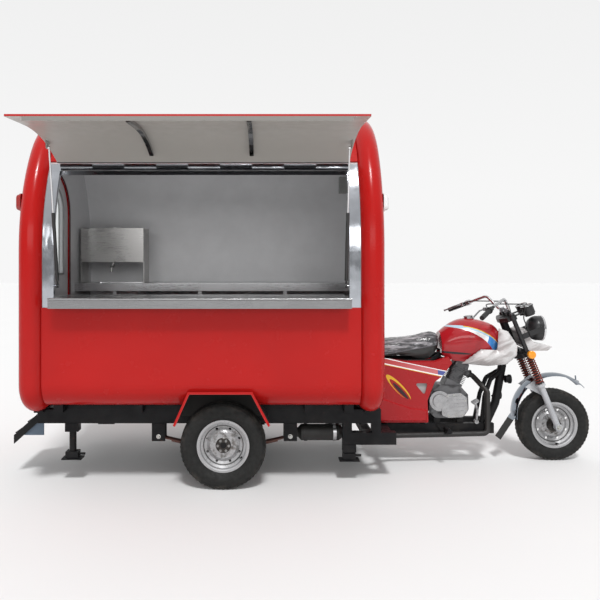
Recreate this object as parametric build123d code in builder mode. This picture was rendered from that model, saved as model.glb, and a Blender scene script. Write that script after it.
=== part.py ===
"""Three-wheeled motorcycle with a food kiosk on its rear axle, built as separate pieces.

Millimetres. While it is modelled, x = 0 is the rear axle with +x towards the front wheel, y = 0 is the
vehicle's mid-plane with +y to its left, and z = 0 is the ground. Pieces are written out in the part's own
frame, whose origin is on the ground under the middle of the vehicle's box.
"""

import os
from math import asin, cos, degrees, hypot, radians, sin, tan

from build123d import *

# Fits shared by all pieces
SEAT = 0.3             # between a piece and what it sits on
RUN = 0.08             # radial running clearance of shafts and slides
WELD = 0.2             # between the bars of a welded frame

# Stance
TRACK = 1200
REAR_TYRE_RADIUS = 278
REAR_TYRE_WIDTH = 140
FRONT_TYRE_RADIUS = 262
FRONT_TYRE_WIDTH = 116
RIM_RADIUS = 170
RIM_WIDTH = 100

# Kiosk section across the vehicle, along the centre line of the end rings
ARCH_HALF = 715
SIDE_ARC_RADIUS = 1118
SIDE_ARC_TURN = 35
SPRING_Z = 1534
BASE_Z = 575
BASE_CORNER = 120

# Kiosk along the vehicle
RING_RADIUS = 77
KIOSK_REAR = -1288
KIOSK_LENGTH = 2316
KIOSK_FRONT = KIOSK_REAR + KIOSK_LENGTH
WALL_RECESS = 22
WALL_THICKNESS = 40
SKIN_IN = 22
SKIN_OUT = 36
LINER_IN = 8
LINER_OUT = 20
DECK_BOTTOM = 555
DECK_THICKNESS = 12

# Serving opening and hatch
PANEL_TOP = 1180
COUNTER_TOP = 1247
HINGE_ANGLE = 30.5
HINGE_OUT = 46
HINGE_BARREL = 8
HINGE_PIN = 3
HINGE_KNUCKLES = 9
OPENING_INSET = 223
OPENING_LENGTH = KIOSK_LENGTH - 2 * OPENING_INSET
HATCH_OVERLAP = 13
HATCH_LENGTH = OPENING_LENGTH + 2 * HATCH_OVERLAP
HATCH_IN = 25
HATCH_OUT = 37
HATCH_OPEN = 87
HATCH_SILL_GAP = 15
HATCH_RIB_SHARE = 1 / 6      # of the hatch's length, from its middle to a rib
HATCH_RIB_WIDTH = 26
HATCH_RIB_DEPTH = 22
JAMB_WIDTH = 70
JAMB_IN = -8
HEADER_IN = -25
HEADER_DEPTH_ANGLE = 2.9

# Gas struts of the hatch
STRUT_INSET = 20
STRUT_FOOT = (-714, 1318)
STRUT_TOP_ANGLE = 16.7
STRUT_TOP_GROW = -16
STRUT_CYLINDER_RADIUS = 11
STRUT_CYLINDER_LENGTH = 430
STRUT_ROD_RADIUS = 5
STRUT_EYE_RADIUS = 13
STRUT_EYE_WIDTH = 12
STRUT_STUD_RADIUS = 6

# Rear door
DOOR_Y = -170
DOOR_WIDTH = 560
DOOR_BOTTOM = 668
DOOR_SPRING_Z = 1820
DOOR_GAP = 4
DOOR_THICKNESS = 30
DOOR_WINDOW_WIDTH = 330
DOOR_WINDOW_BOTTOM = 1385
DOOR_WINDOW_SPRING = 1840
DOOR_HINGE_PIN = 6
DOOR_HINGE_EYE = 12
DOOR_HINGE_HEIGHT = 26
DOOR_HINGE_OUT = 16
DOOR_HINGE_LEVELS = (840, 1660)
GLASS = 5

# Counters and fittings inside
COUNTER_LIP_Y = -850
COUNTER_BACK_Y = -420
COUNTER_LIP = 66
SHEET = 4
BACK_COUNTER_TOP = 1300
BACK_COUNTER_FRONT_Y = 250
BACK_COUNTER_LIP = 60
SINK_LENGTH = 420
SINK_WIDTH = 300
SINK_DEPTH = 150
TANK_LENGTH = 510
TANK_DEPTH = 230
TANK_HEIGHT = 272
TANK_STAND = 168
TANK_FRONT_Y = 345
JUNCTION_BOX = (92, 86, 130)

# Chassis
RAIL_INSET = 130             # from the middle of a rear tyre to the middle of its rail
RAIL_Y = TRACK / 2 - RAIL_INSET
RAIL_WIDTH = 60
RAIL_DEPTH = 92
RAIL_TOP = 482
RAIL_REAR = KIOSK_REAR + 38
RAIL_FRONT = KIOSK_FRONT + 18
CROSS_SIZE = 60
LOWER_RAIL_TOP = 327
LOWER_RAIL_DEPTH = 81
LOWER_RAIL_REAR = KIOSK_FRONT - 236
LOWER_RAIL_FRONT = KIOSK_FRONT + 121

# Rear suspension
SPRING_Y = RAIL_Y
SPRING_SPAN = 880
SPRING_EYE_Z = 303
LEAF_WIDTH = 50
LEAF_THICKNESS = 8
LEAF_COUNT = 4
LEAF_STEP = 85
SPRING_EYE = 19
SPRING_BOLT = 8
AXLE_TUBE = 36
AXLE_STUB = 20
AXLE_TRAVEL = 30

# Wheel wells: a trapezoid of sheet over each rear tyre
WELL_TOP_Z = 644
WELL_LOW_Z = 440
WELL_TOP_REAR = -205
WELL_TOP_FRONT = 185
WELL_LOW_REAR = -296
WELL_LOW_FRONT = 293
WELL_EDGE_Y = TRACK / 2 + 180
WELL_SHEET = 4

# Motorcycle half: drawn from a datum that keeps its distance behind the kiosk's front
MOTO_BEHIND = 1028
MOTO_DATUM = KIOSK_FRONT - MOTO_BEHIND
FRONT_AXLE_X = 2412
WHEELBASE = MOTO_DATUM + FRONT_AXLE_X

# Frame placement: the step at the back, the front tyre, the open hatch and the ring give the box
STEP_BACK = KIOSK_REAR - 168
RING_REAR_X = KIOSK_REAR + RING_RADIUS
RING_FRONT_X = KIOSK_FRONT - RING_RADIUS
KIOSK_MID = (KIOSK_REAR + KIOSK_FRONT) / 2
ARC_REACH = SIDE_ARC_RADIUS - ARCH_HALF
CROWN_RADIUS = SIDE_ARC_RADIUS - ARC_REACH / cos(radians(SIDE_ARC_TURN))
CROWN_Z = SPRING_Z + ARC_REACH * tan(radians(SIDE_ARC_TURN))
WALL_INNER_REAR = KIOSK_REAR + WALL_RECESS + WALL_THICKNESS
WALL_INNER_FRONT = KIOSK_FRONT - WALL_RECESS - WALL_THICKNESS
DECK_TOP = DECK_BOTTOM + DECK_THICKNESS
FLAT_HALF = ARCH_HALF - BASE_CORNER
FAR = 3000             # well outside the vehicle, for cutting outlines


def side_point(grow, angle):
    """(y, z) on the right side arc, grown outwards, at an angle above the spring line."""
    radius = SIDE_ARC_RADIUS + grow
    return (ARC_REACH - radius * cos(radians(angle)), SPRING_Z + radius * sin(radians(angle)))


HINGE = side_point(HINGE_OUT, HINGE_ANGLE)


def swing_hatch(point, turn=HATCH_OPEN):
    """A (y, z) point of the closed hatch after the hatch is opened by a turn."""
    y, z = point[0] - HINGE[0], point[1] - HINGE[1]
    c, s = cos(radians(turn)), sin(radians(turn))
    return (HINGE[0] + y * c + z * s, HINGE[1] - y * s + z * c)


HATCH_SILL_Z = COUNTER_TOP + HATCH_SILL_GAP
HATCH_EDGE = swing_hatch((-(ARCH_HALF + HATCH_OUT), HATCH_SILL_Z))
BOX_X = (STEP_BACK + WHEELBASE + FRONT_TYRE_RADIUS) / 2
BOX_Y = (HATCH_EDGE[0] + ARCH_HALF + RING_RADIUS) / 2
TO_FRAME = Location((-BOX_X, -BOX_Y, 0))

os.makedirs("parts", exist_ok=True)


def save(piece, name, datum=0):
    """Writes a finished piece, moved from the lines it is drawn on to the part's own frame."""
    placed = piece.part.moved(TO_FRAME * Location((datum, 0, 0)))
    placed.label = name
    export_step(placed, f"parts/{name}.step")


def across(x, y=0, z=0):
    """A sketch plane across the vehicle: its x is the vehicle's y, its y is z."""
    return Plane(origin=(x, y, z), x_dir=(0, 1, 0), z_dir=(1, 0, 0))


def along(y, x=0, z=0):
    """A sketch plane along the vehicle, seen from its right: x forwards, y up, normal to the right."""
    return Plane(origin=(x, y, z), x_dir=(1, 0, 0), z_dir=(0, -1, 0))


def bar(start, end, width, depth, mode=Mode.ADD, sideways=None):
    """A rectangular bar from start to end, joined to or cut from the piece being built."""
    run = Vector(*end) - Vector(*start)
    if sideways is None:
        sideways = (1, 0, 0) if abs(run.Y) > abs(run.X) + abs(run.Z) else (0, 1, 0)
    with BuildSketch(Plane(origin=start, x_dir=sideways, z_dir=run)) as end_face:
        Rectangle(width, depth)
    extrude(end_face.sketch, amount=run.length, mode=mode)


def rod(start, end, radius, mode=Mode.ADD):
    """A round rod from start to end, joined to or cut from the piece being built."""
    run = Vector(*end) - Vector(*start)
    with BuildSketch(Plane(origin=start, z_dir=run)) as end_face:
        Circle(radius)
    extrude(end_face.sketch, amount=run.length, mode=mode)


def tube(points, bends, radius):
    """A round tube along straight runs joined by bends, joined to the piece being built."""
    with BuildLine() as route:
        FilletPolyline(*points, radius=bends)
    start = Vector(*points[0])
    with BuildSketch(Plane(origin=start, z_dir=Vector(*points[1]) - start)) as end_face:
        Circle(radius)
    sweep(end_face.sketch, path=route.line)


def section(grow):
    """The kiosk's outline across the vehicle, grown outwards from the rings' centre line."""
    foot = BASE_Z + BASE_CORNER
    CenterArc((0, CROWN_Z), CROWN_RADIUS + grow, SIDE_ARC_TURN, 180 - 2 * SIDE_ARC_TURN)
    for side, start in ((1, 0), (-1, 180 - SIDE_ARC_TURN)):
        wall = side * (ARCH_HALF + grow)
        CenterArc((-side * ARC_REACH, SPRING_Z), SIDE_ARC_RADIUS + grow, start, SIDE_ARC_TURN)
        Line((wall, SPRING_Z), (wall, foot))
    CenterArc((FLAT_HALF, foot), BASE_CORNER + grow, 270, 90)
    CenterArc((-FLAT_HALF, foot), BASE_CORNER + grow, 180, 90)
    Line((-FLAT_HALF, BASE_Z - grow), (FLAT_HALF, BASE_Z - grow))


def band(inner, outer):
    """A closed strip of the section between two offsets, in the sketch being built."""
    with BuildLine() as outside:
        section(outer)
    make_face(outside.edges())
    with BuildLine() as inside:
        section(inner)
    make_face(inside.edges(), mode=Mode.SUBTRACT)


def ray(angle):
    """Where a radial line of the right side arc crosses the mid-plane, and its far end."""
    slope = tan(radians(angle))
    return (0, SPRING_Z + ARC_REACH * slope), (-FAR, SPRING_Z + (ARC_REACH + FAR) * slope)


def below_ray(angle, floor, mode):
    """The right-hand region under a radial line and above a level, applied to the sketch."""
    near, far = ray(angle)
    Polygon(near, far, (-FAR, floor), (0, floor), align=None, mode=mode)


def well_points(inset, drop):
    """Corners of a wheel well's trapezoid seen from the side, drawn in by inset and let down by drop."""
    rise = WELL_TOP_Z - WELL_LOW_Z
    rear_lean = (WELL_TOP_REAR - WELL_LOW_REAR) / rise
    front_lean = (WELL_LOW_FRONT - WELL_TOP_FRONT) / rise
    top = WELL_TOP_Z - inset
    low = WELL_LOW_Z - drop
    rear_in = WELL_LOW_REAR + inset * hypot(1, rear_lean)
    front_in = WELL_LOW_FRONT - inset * hypot(1, front_lean)
    reach_low, reach_top = low - WELL_LOW_Z, top - WELL_LOW_Z
    return ((rear_in + reach_low * rear_lean, low), (rear_in + reach_top * rear_lean, top),
            (front_in - reach_top * front_lean, top), (front_in - reach_low * front_lean, low))


WELL_INNER_Y = RAIL_Y + RAIL_WIDTH / 2 + SEAT


def cut_wells(sides):
    """Cuts room for the wheel wells from the piece being built."""
    for side in sides:
        with BuildSketch(along(side * (WELL_INNER_Y - SEAT))) as opening:
            Polygon(*well_points(-SEAT, FLAT_HALF), align=None)
        extrude(opening.sketch, amount=-side * (FAR - WELL_INNER_Y), mode=Mode.SUBTRACT)


# Chassis: ladder frame, floor bearers, drop posts, spring hangers, leg sockets and the rear step
CROSS_PLACES = (RAIL_REAR + CROSS_SIZE / 2, -760, -SPRING_SPAN / 2, SPRING_SPAN / 2, KIOSK_FRONT - 128)
BEARER_PLACES = (KIOSK_REAR + 208, -560, 560, KIOSK_FRONT - 208)
WELL_BEARER_X = 0
SILL_GAP = 35                # from a ring to the end of the sill beside it
SILL_REAR = RING_REAR_X + RING_RADIUS + SILL_GAP
SILL_FRONT = RING_FRONT_X - RING_RADIUS - SILL_GAP
LOW_CROSS_X = KIOSK_FRONT - 43
LOW_CROSS_DEPTH = 50
LEG_RADIUS = 23
SOCKET = (88, 70)            # along and across the vehicle
REAR_LEG_X = KIOSK_REAR + 267
REAR_SOCKET_BOTTOM = 334
FRONT_LEG_X = KIOSK_FRONT - 192
FRONT_SOCKET_BOTTOM = 196
HANGER_PLATE = 6
HANGER_PLAY = 3              # between a leaf pack and its hanger plates
HANGER_LENGTH = 90
HANGER_BOTTOM = 272
RAIL_BOTTOM = RAIL_TOP - RAIL_DEPTH
LOWER_RAIL_BOTTOM = LOWER_RAIL_TOP - LOWER_RAIL_DEPTH
INSIDE_RAILS = RAIL_Y - RAIL_WIDTH / 2 - WELD
OUTSIDE_RAILS = RAIL_Y + RAIL_WIDTH / 2 + WELD
RING_BOTTOM = BASE_Z - RING_RADIUS

STEP_HALF = 200
STEP_ARM_WIDTH = 40
STEP_ARM_RISE = 60           # upright thickness of an arm
STEP_HEAD_Z = 462
STEP_SLOPE = 0.9             # fall of the arms for each unit backwards
STEP_GUSSET = 5
STEP_GUSSET_LOW = 277
STEP_TREAD = 92
STEP_TREAD_LAP = 8
STEP_HEAD_X = RAIL_REAR - WELD


def step_top(x):
    """Height of the upper face of the step's arms."""
    return STEP_HEAD_Z + STEP_SLOPE * (x - STEP_HEAD_X)


with BuildPart() as chassis_frame:
    for side in (-1, 1):
        y = side * RAIL_Y
        bar((RAIL_REAR, y, RAIL_TOP - RAIL_DEPTH / 2), (RAIL_FRONT, y, RAIL_TOP - RAIL_DEPTH / 2),
            RAIL_WIDTH, RAIL_DEPTH)
        low = LOWER_RAIL_TOP - LOWER_RAIL_DEPTH / 2
        bar((LOWER_RAIL_REAR, y, low), (LOWER_RAIL_FRONT, y, low), RAIL_WIDTH, LOWER_RAIL_DEPTH)
        for post in (LOWER_RAIL_REAR + RAIL_WIDTH / 2, RAIL_FRONT - RAIL_WIDTH / 2):
            bar((post, y, LOWER_RAIL_TOP + WELD), (post, y, RAIL_BOTTOM - WELD), RAIL_WIDTH, RAIL_WIDTH)
        for eye in (-SPRING_SPAN / 2, SPRING_SPAN / 2):
            for face in (-1, 1):
                plate_y = side * SPRING_Y + face * (LEAF_WIDTH / 2 + HANGER_PLAY + HANGER_PLATE / 2)
                bar((eye, plate_y, RAIL_BOTTOM - WELD), (eye, plate_y, HANGER_BOTTOM),
                    HANGER_PLATE, HANGER_LENGTH)
            bolt = LEAF_WIDTH / 2 + HANGER_PLAY - WELD
            rod((eye, side * SPRING_Y - bolt, SPRING_EYE_Z), (eye, side * SPRING_Y + bolt, SPRING_EYE_Z),
                SPRING_BOLT)
        for socket_x, top, bottom in ((REAR_LEG_X, RAIL_BOTTOM, REAR_SOCKET_BOTTOM),
                                      (FRONT_LEG_X, LOWER_RAIL_BOTTOM, FRONT_SOCKET_BOTTOM)):
            with Locations((socket_x, y, (top + bottom) / 2)):
                Box(*SOCKET, top - bottom - WELD)
                Cylinder(LEG_RADIUS + RUN, top - bottom, mode=Mode.SUBTRACT)
    cross_z = RAIL_BOTTOM + CROSS_SIZE / 2
    for x in CROSS_PLACES:
        bar((x, -INSIDE_RAILS, cross_z), (x, INSIDE_RAILS, cross_z), CROSS_SIZE, CROSS_SIZE)
    bearer_z = (RAIL_TOP + DECK_BOTTOM) / 2
    bearer_depth = DECK_BOTTOM - RAIL_TOP - 2 * WELD
    for x in (*BEARER_PLACES, WELL_BEARER_X):
        bar((x, -INSIDE_RAILS, bearer_z), (x, INSIDE_RAILS, bearer_z), CROSS_SIZE, bearer_depth)
    for side in (-1, 1):
        bar((SILL_REAR, side * RAIL_Y, bearer_z), (SILL_FRONT, side * RAIL_Y, bearer_z),
            RAIL_WIDTH, bearer_depth)
        for x in BEARER_PLACES:
            bar((x, side * OUTSIDE_RAILS, bearer_z), (x, side * (FLAT_HALF - SEAT), bearer_z),
                CROSS_SIZE, bearer_depth)
    saddle_z = (RAIL_TOP + RING_BOTTOM) / 2
    for x in (RING_REAR_X, RING_FRONT_X):
        bar((x, -FLAT_HALF, saddle_z), (x, FLAT_HALF, saddle_z),
            CROSS_SIZE, RING_BOTTOM - RAIL_TOP - 2 * WELD)
    low_cross = LOWER_RAIL_BOTTOM + LOW_CROSS_DEPTH / 2
    for x in (LOWER_RAIL_FRONT - CROSS_SIZE / 2, LOW_CROSS_X):
        bar((x, -INSIDE_RAILS, low_cross), (x, INSIDE_RAILS, low_cross), CROSS_SIZE, LOW_CROSS_DEPTH)
    arm_foot = STEP_BACK + STEP_GUSSET
    head_top, foot_top = step_top(STEP_HEAD_X), step_top(arm_foot)
    gusset_top = head_top - STEP_ARM_RISE - WELD
    gusset_tip = STEP_HEAD_X + (STEP_GUSSET_LOW - gusset_top) / STEP_SLOPE
    for side in (-1, 1):
        y = DOOR_Y + side * STEP_HALF
        with BuildSketch(along(y + STEP_ARM_WIDTH / 2)):
            Polygon((STEP_HEAD_X, head_top), (STEP_HEAD_X, head_top - STEP_ARM_RISE),
                    (arm_foot, foot_top - STEP_ARM_RISE), (arm_foot, foot_top), align=None)
        extrude(amount=STEP_ARM_WIDTH)
        with BuildSketch(along(y + STEP_GUSSET / 2)):
            Polygon((STEP_HEAD_X, gusset_top), (STEP_HEAD_X, STEP_GUSSET_LOW), (gusset_tip, STEP_GUSSET_LOW),
                    align=None)
        extrude(amount=STEP_GUSSET)
    tread_length = 2 * (STEP_HALF - STEP_ARM_WIDTH / 2 - WELD)
    for tread in range(2):
        tread_x = STEP_BACK + STEP_TREAD / 2 + tread * (STEP_TREAD - STEP_TREAD_LAP)
        with Locations((tread_x, DOOR_Y, step_top(tread_x) - STEP_ARM_RISE / 2)):
            Box(STEP_TREAD, tread_length, STEP_GUSSET)
save(chassis_frame, "chassis_frame")

# Floor deck: one sheet from end wall to end wall, with a raised tread along the aisle
AISLE_RIGHT = COUNTER_BACK_Y + 10
AISLE_LEFT = BACK_COUNTER_FRONT_Y - 10
AISLE_END = 60               # from an end wall to the end of the tread
TREAD_RISE = 2
with BuildPart() as floor_deck:
    with Locations((KIOSK_MID, 0, DECK_BOTTOM + DECK_THICKNESS / 2)):
        Box(WALL_INNER_FRONT - WALL_INNER_REAR - 2 * SEAT, 2 * (FLAT_HALF - SEAT), DECK_THICKNESS)
    cut_wells((-1, 1))
    with BuildSketch(Plane.XY.offset(DECK_TOP)):
        with Locations((KIOSK_MID, (AISLE_RIGHT + AISLE_LEFT) / 2)):
            Rectangle(WALL_INNER_FRONT - WALL_INNER_REAR - 2 * AISLE_END, AISLE_LEFT - AISLE_RIGHT)
    extrude(amount=TREAD_RISE)
save(floor_deck, "floor_deck")

# Skins run between the seams beside the two rings
SEAM = (RING_RADIUS ** 2 - SKIN_IN ** 2) ** 0.5 + 2 * SEAT
SKIN_REAR = RING_REAR_X + SEAM
SKIN_LENGTH = RING_FRONT_X - RING_REAR_X - 2 * SEAM

with BuildPart() as right_lower_panel:
    with BuildSketch(across(SKIN_REAR)):
        band(SKIN_IN, SKIN_OUT)
        Polygon((-FLAT_HALF, 0), (-FAR, 0), (-FAR, PANEL_TOP), (-FLAT_HALF, PANEL_TOP),
                align=None, mode=Mode.INTERSECT)
    extrude(amount=SKIN_LENGTH)
    cut_wells((-1,))
save(right_lower_panel, "right_lower_panel")


def left_and_roof(inner, outer, start, length, first_angle):
    """A sheet from a radial line on the right side, over the roof, down to the left edge of the deck."""
    near, far = ray(first_angle)
    with BuildSketch(across(start)) as sheet:
        band(inner, outer)
        Polygon(near, far, (-FAR, 0), (FLAT_HALF, 0), (FLAT_HALF, BASE_Z + BASE_CORNER / 2),
                (0, BASE_Z + BASE_CORNER / 2), align=None, mode=Mode.SUBTRACT)
    extrude(sheet.sketch, amount=length)


ROOF_EDGE_ANGLE = HINGE_ANGLE + 0.55    # clear of the hinge's barrel
with BuildPart() as roof_skin:
    left_and_roof(SKIN_IN, SKIN_OUT, SKIN_REAR, SKIN_LENGTH, ROOF_EDGE_ANGLE)
    cut_wells((1,))
save(roof_skin, "roof_skin")

HEADER_TOP_ANGLE = HINGE_ANGLE
with BuildPart() as inner_liner:
    left_and_roof(LINER_IN, LINER_OUT, WALL_INNER_REAR + SEAT, WALL_INNER_FRONT - WALL_INNER_REAR - 2 * SEAT,
                  HEADER_TOP_ANGLE)
    cut_wells((1,))
save(inner_liner, "inner_liner")


def end_cap(ring_x, wall_x, inner_x, inwards):
    """A rolled ring with its flat end wall, hollowed where the liner and counters run into it."""
    with BuildLine(across(ring_x)) as ring_line:
        section(0)
    with BuildSketch(Plane(origin=(ring_x, -FLAT_HALF, BASE_Z), x_dir=(1, 0, 0), z_dir=(0, 1, 0))) as roll:
        Circle(RING_RADIUS)
    sweep(roll.sketch, path=ring_line.wire())
    with BuildSketch(across(wall_x)) as wall:
        with BuildLine() as outline:
            section(0)
        make_face(outline.edges())
    extrude(wall.sketch, amount=WALL_THICKNESS)
    with BuildSketch(across(inner_x)) as hollow:
        with BuildLine() as outline:
            section(LINER_OUT + SEAT)
        make_face(outline.edges())
    extrude(hollow.sketch, amount=inwards * 2 * RING_RADIUS, mode=Mode.SUBTRACT)


def arched(width, bottom, spring):
    """An outline with upright sides and a half-round head, in the sketch being built."""
    half = width / 2
    with BuildLine() as outline:
        Polyline((half, spring), (half, bottom), (-half, bottom), (-half, spring))
        ThreePointArc((-half, spring), (0, spring + half), (half, spring))
    make_face(outline.edges())


DOOR_HINGE_LEAF = 6
DOOR_HINGE_Y = DOOR_Y + DOOR_WIDTH / 2 + 10
DOOR_OUTER_X = KIOSK_REAR + WALL_RECESS
DOOR_HINGE_X = DOOR_OUTER_X - DOOR_HINGE_OUT
with BuildPart() as rear_end_cap:
    end_cap(RING_REAR_X, DOOR_OUTER_X, WALL_INNER_REAR, 1)
    with BuildSketch(across(DOOR_OUTER_X, DOOR_Y)):
        arched(DOOR_WIDTH + 2 * DOOR_GAP, DOOR_BOTTOM - DOOR_GAP, DOOR_SPRING_Z)
    extrude(amount=WALL_THICKNESS, mode=Mode.SUBTRACT)
    for level in DOOR_HINGE_LEVELS:
        hinge_foot = level - DOOR_HINGE_HEIGHT
        with Locations((DOOR_OUTER_X - DOOR_HINGE_LEAF / 2, DOOR_HINGE_Y + 30, hinge_foot)):
            Box(DOOR_HINGE_LEAF, 50, DOOR_HINGE_HEIGHT)
        with Locations((DOOR_OUTER_X - DOOR_HINGE_OUT / 2, DOOR_HINGE_Y + 10, hinge_foot)):
            Box(DOOR_HINGE_OUT, 10, DOOR_HINGE_HEIGHT)
        rod((DOOR_HINGE_X, DOOR_HINGE_Y, hinge_foot - DOOR_HINGE_HEIGHT / 2),
            (DOOR_HINGE_X, DOOR_HINGE_Y, hinge_foot + DOOR_HINGE_HEIGHT / 2), DOOR_HINGE_EYE)
        rod((DOOR_HINGE_X, DOOR_HINGE_Y, hinge_foot),
            (DOOR_HINGE_X, DOOR_HINGE_Y, level + DOOR_HINGE_HEIGHT / 2), DOOR_HINGE_PIN)
save(rear_end_cap, "rear_end_cap")

with BuildPart() as front_end_cap:
    end_cap(RING_FRONT_X, WALL_INNER_FRONT, WALL_INNER_FRONT, -1)
save(front_end_cap, "front_end_cap")

# Rear door: arched leaf with a window, its glass and its turning handle
DOOR_X = DOOR_OUTER_X
HANDLE_Y = DOOR_Y - DOOR_WIDTH / 2 + 45
HANDLE_Z = 1180
HANDLE_SHAFT = 8
HANDLE_LENGTH = 120
HANDLE_WIDTH = 24
HANDLE_GRIP = 14
HANDLE_OUT = 34
HANDLE_ROSE = 22
DOOR_STILE = 70
DOOR_RAIL = 80
DOOR_PANEL_CORNER = 40
DOOR_PANEL_DEPTH = 6
with BuildPart() as rear_door:
    with BuildSketch(across(DOOR_X, DOOR_Y)):
        arched(DOOR_WIDTH, DOOR_BOTTOM, DOOR_SPRING_Z)
    extrude(amount=DOOR_THICKNESS)
    with BuildSketch(across(DOOR_X, DOOR_Y)):
        arched(DOOR_WINDOW_WIDTH, DOOR_WINDOW_BOTTOM, DOOR_WINDOW_SPRING)
    extrude(amount=DOOR_THICKNESS, mode=Mode.SUBTRACT)
    with BuildSketch(across(DOOR_X, DOOR_Y)):
        with Locations((0, (DOOR_BOTTOM + DOOR_WINDOW_BOTTOM) / 2)):
            RectangleRounded(DOOR_WIDTH - 2 * DOOR_STILE, DOOR_WINDOW_BOTTOM - DOOR_BOTTOM - 2 * DOOR_RAIL,
                             DOOR_PANEL_CORNER)
    extrude(amount=DOOR_PANEL_DEPTH, mode=Mode.SUBTRACT)
    for level in DOOR_HINGE_LEVELS:
        eye_z = level + SEAT
        with Locations((DOOR_X - DOOR_HINGE_LEAF / 2, DOOR_HINGE_Y - 50, eye_z)):
            Box(DOOR_HINGE_LEAF, 64, DOOR_HINGE_HEIGHT)
        with Locations((DOOR_X - DOOR_HINGE_OUT / 2, DOOR_HINGE_Y - 18, eye_z)):
            Box(DOOR_HINGE_OUT, 16, DOOR_HINGE_HEIGHT)
        rod((DOOR_HINGE_X, DOOR_HINGE_Y, eye_z - DOOR_HINGE_HEIGHT / 2),
            (DOOR_HINGE_X, DOOR_HINGE_Y, eye_z + DOOR_HINGE_HEIGHT / 2), DOOR_HINGE_EYE)
        rod((DOOR_HINGE_X, DOOR_HINGE_Y, eye_z - DOOR_HINGE_HEIGHT),
            (DOOR_HINGE_X, DOOR_HINGE_Y, eye_z + DOOR_HINGE_HEIGHT), DOOR_HINGE_PIN + RUN, mode=Mode.SUBTRACT)
    rod((DOOR_X - 1, HANDLE_Y, HANDLE_Z), (DOOR_X + DOOR_THICKNESS, HANDLE_Y, HANDLE_Z), HANDLE_SHAFT + RUN,
        mode=Mode.SUBTRACT)
save(rear_door, "rear_door")

with BuildPart() as door_window:
    with BuildSketch(across(DOOR_X + (DOOR_THICKNESS - GLASS) / 2, DOOR_Y)):
        arched(DOOR_WINDOW_WIDTH - 2 * SEAT, DOOR_WINDOW_BOTTOM + SEAT, DOOR_WINDOW_SPRING)
    extrude(amount=GLASS)
save(door_window, "door_window")

with BuildPart() as door_handle:
    for face_x in (DOOR_X - HANDLE_OUT, DOOR_X + DOOR_THICKNESS + HANDLE_OUT - HANDLE_GRIP):
        with BuildSketch(across(face_x, HANDLE_Y, HANDLE_Z)):
            with Locations(((HANDLE_LENGTH - HANDLE_WIDTH) / 2, 0)):
                SlotOverall(HANDLE_LENGTH, HANDLE_WIDTH)
        extrude(amount=HANDLE_GRIP)
    fillet(door_handle.faces().filter_by(Plane.YZ).edges(), radius=4)
    rod((DOOR_X - HANDLE_OUT + 5, HANDLE_Y, HANDLE_Z),
        (DOOR_X + DOOR_THICKNESS + HANDLE_OUT - 5, HANDLE_Y, HANDLE_Z), HANDLE_SHAFT)
    rod((DOOR_X - 8, HANDLE_Y, HANDLE_Z), (DOOR_X - SEAT, HANDLE_Y, HANDLE_Z), HANDLE_ROSE)
save(door_handle, "door_handle")

# Stainless frame of the serving opening: two curved jambs and the header
OPENING_REAR = KIOSK_MID - OPENING_LENGTH / 2
OPENING_FRONT = KIOSK_MID + OPENING_LENGTH / 2
HEADER_BOTTOM_ANGLE = HEADER_TOP_ANGLE - HEADER_DEPTH_ANGLE
with BuildPart() as opening_frame:
    for jamb_start in (OPENING_REAR - JAMB_WIDTH, OPENING_FRONT):
        with BuildSketch(across(jamb_start)):
            band(JAMB_IN, LINER_OUT)
            below_ray(HEADER_BOTTOM_ANGLE - 0.02, PANEL_TOP + SEAT, Mode.INTERSECT)
        extrude(amount=JAMB_WIDTH)
    with BuildSketch(across(OPENING_REAR - JAMB_WIDTH)):
        band(HEADER_IN, LINER_OUT)
        below_ray(HEADER_TOP_ANGLE - 0.02, SPRING_Z, Mode.INTERSECT)
        below_ray(HEADER_BOTTOM_ANGLE, 0, Mode.SUBTRACT)
    extrude(amount=OPENING_LENGTH + 2 * JAMB_WIDTH)
    for stud_start, stud_end in ((OPENING_REAR, OPENING_REAR + STRUT_INSET - STRUT_EYE_WIDTH / 2),
                                 (OPENING_FRONT, OPENING_FRONT - STRUT_INSET + STRUT_EYE_WIDTH / 2)):
        reach = STRUT_EYE_WIDTH if stud_end > stud_start else -STRUT_EYE_WIDTH
        rod((stud_start, *STRUT_FOOT), (stud_end + reach, *STRUT_FOOT), STRUT_STUD_RADIUS)
save(opening_frame, "opening_frame")

# Hatch, built closed and then swung open; its hinge has alternate knuckles on one pin
HATCH_REAR = KIOSK_MID - HATCH_LENGTH / 2
HATCH_AXIS = Axis((0, *HINGE), (1, 0, 0))
KNUCKLE = HATCH_LENGTH / HINGE_KNUCKLES
LEAF_ANGLE = 1.6
KNUCKLE_SWEEP = degrees(HINGE_BARREL / SIDE_ARC_RADIUS)


def knuckle_outline(first_angle, last_angle):
    """A barrel with its web on the skin, between two angles of the side arc."""
    band(SKIN_OUT + 2 * SEAT, SKIN_OUT + 4)
    below_ray(last_angle, SPRING_Z, Mode.INTERSECT)
    below_ray(first_angle, 0, Mode.SUBTRACT)
    with Locations(HINGE):
        Circle(HINGE_BARREL)


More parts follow.
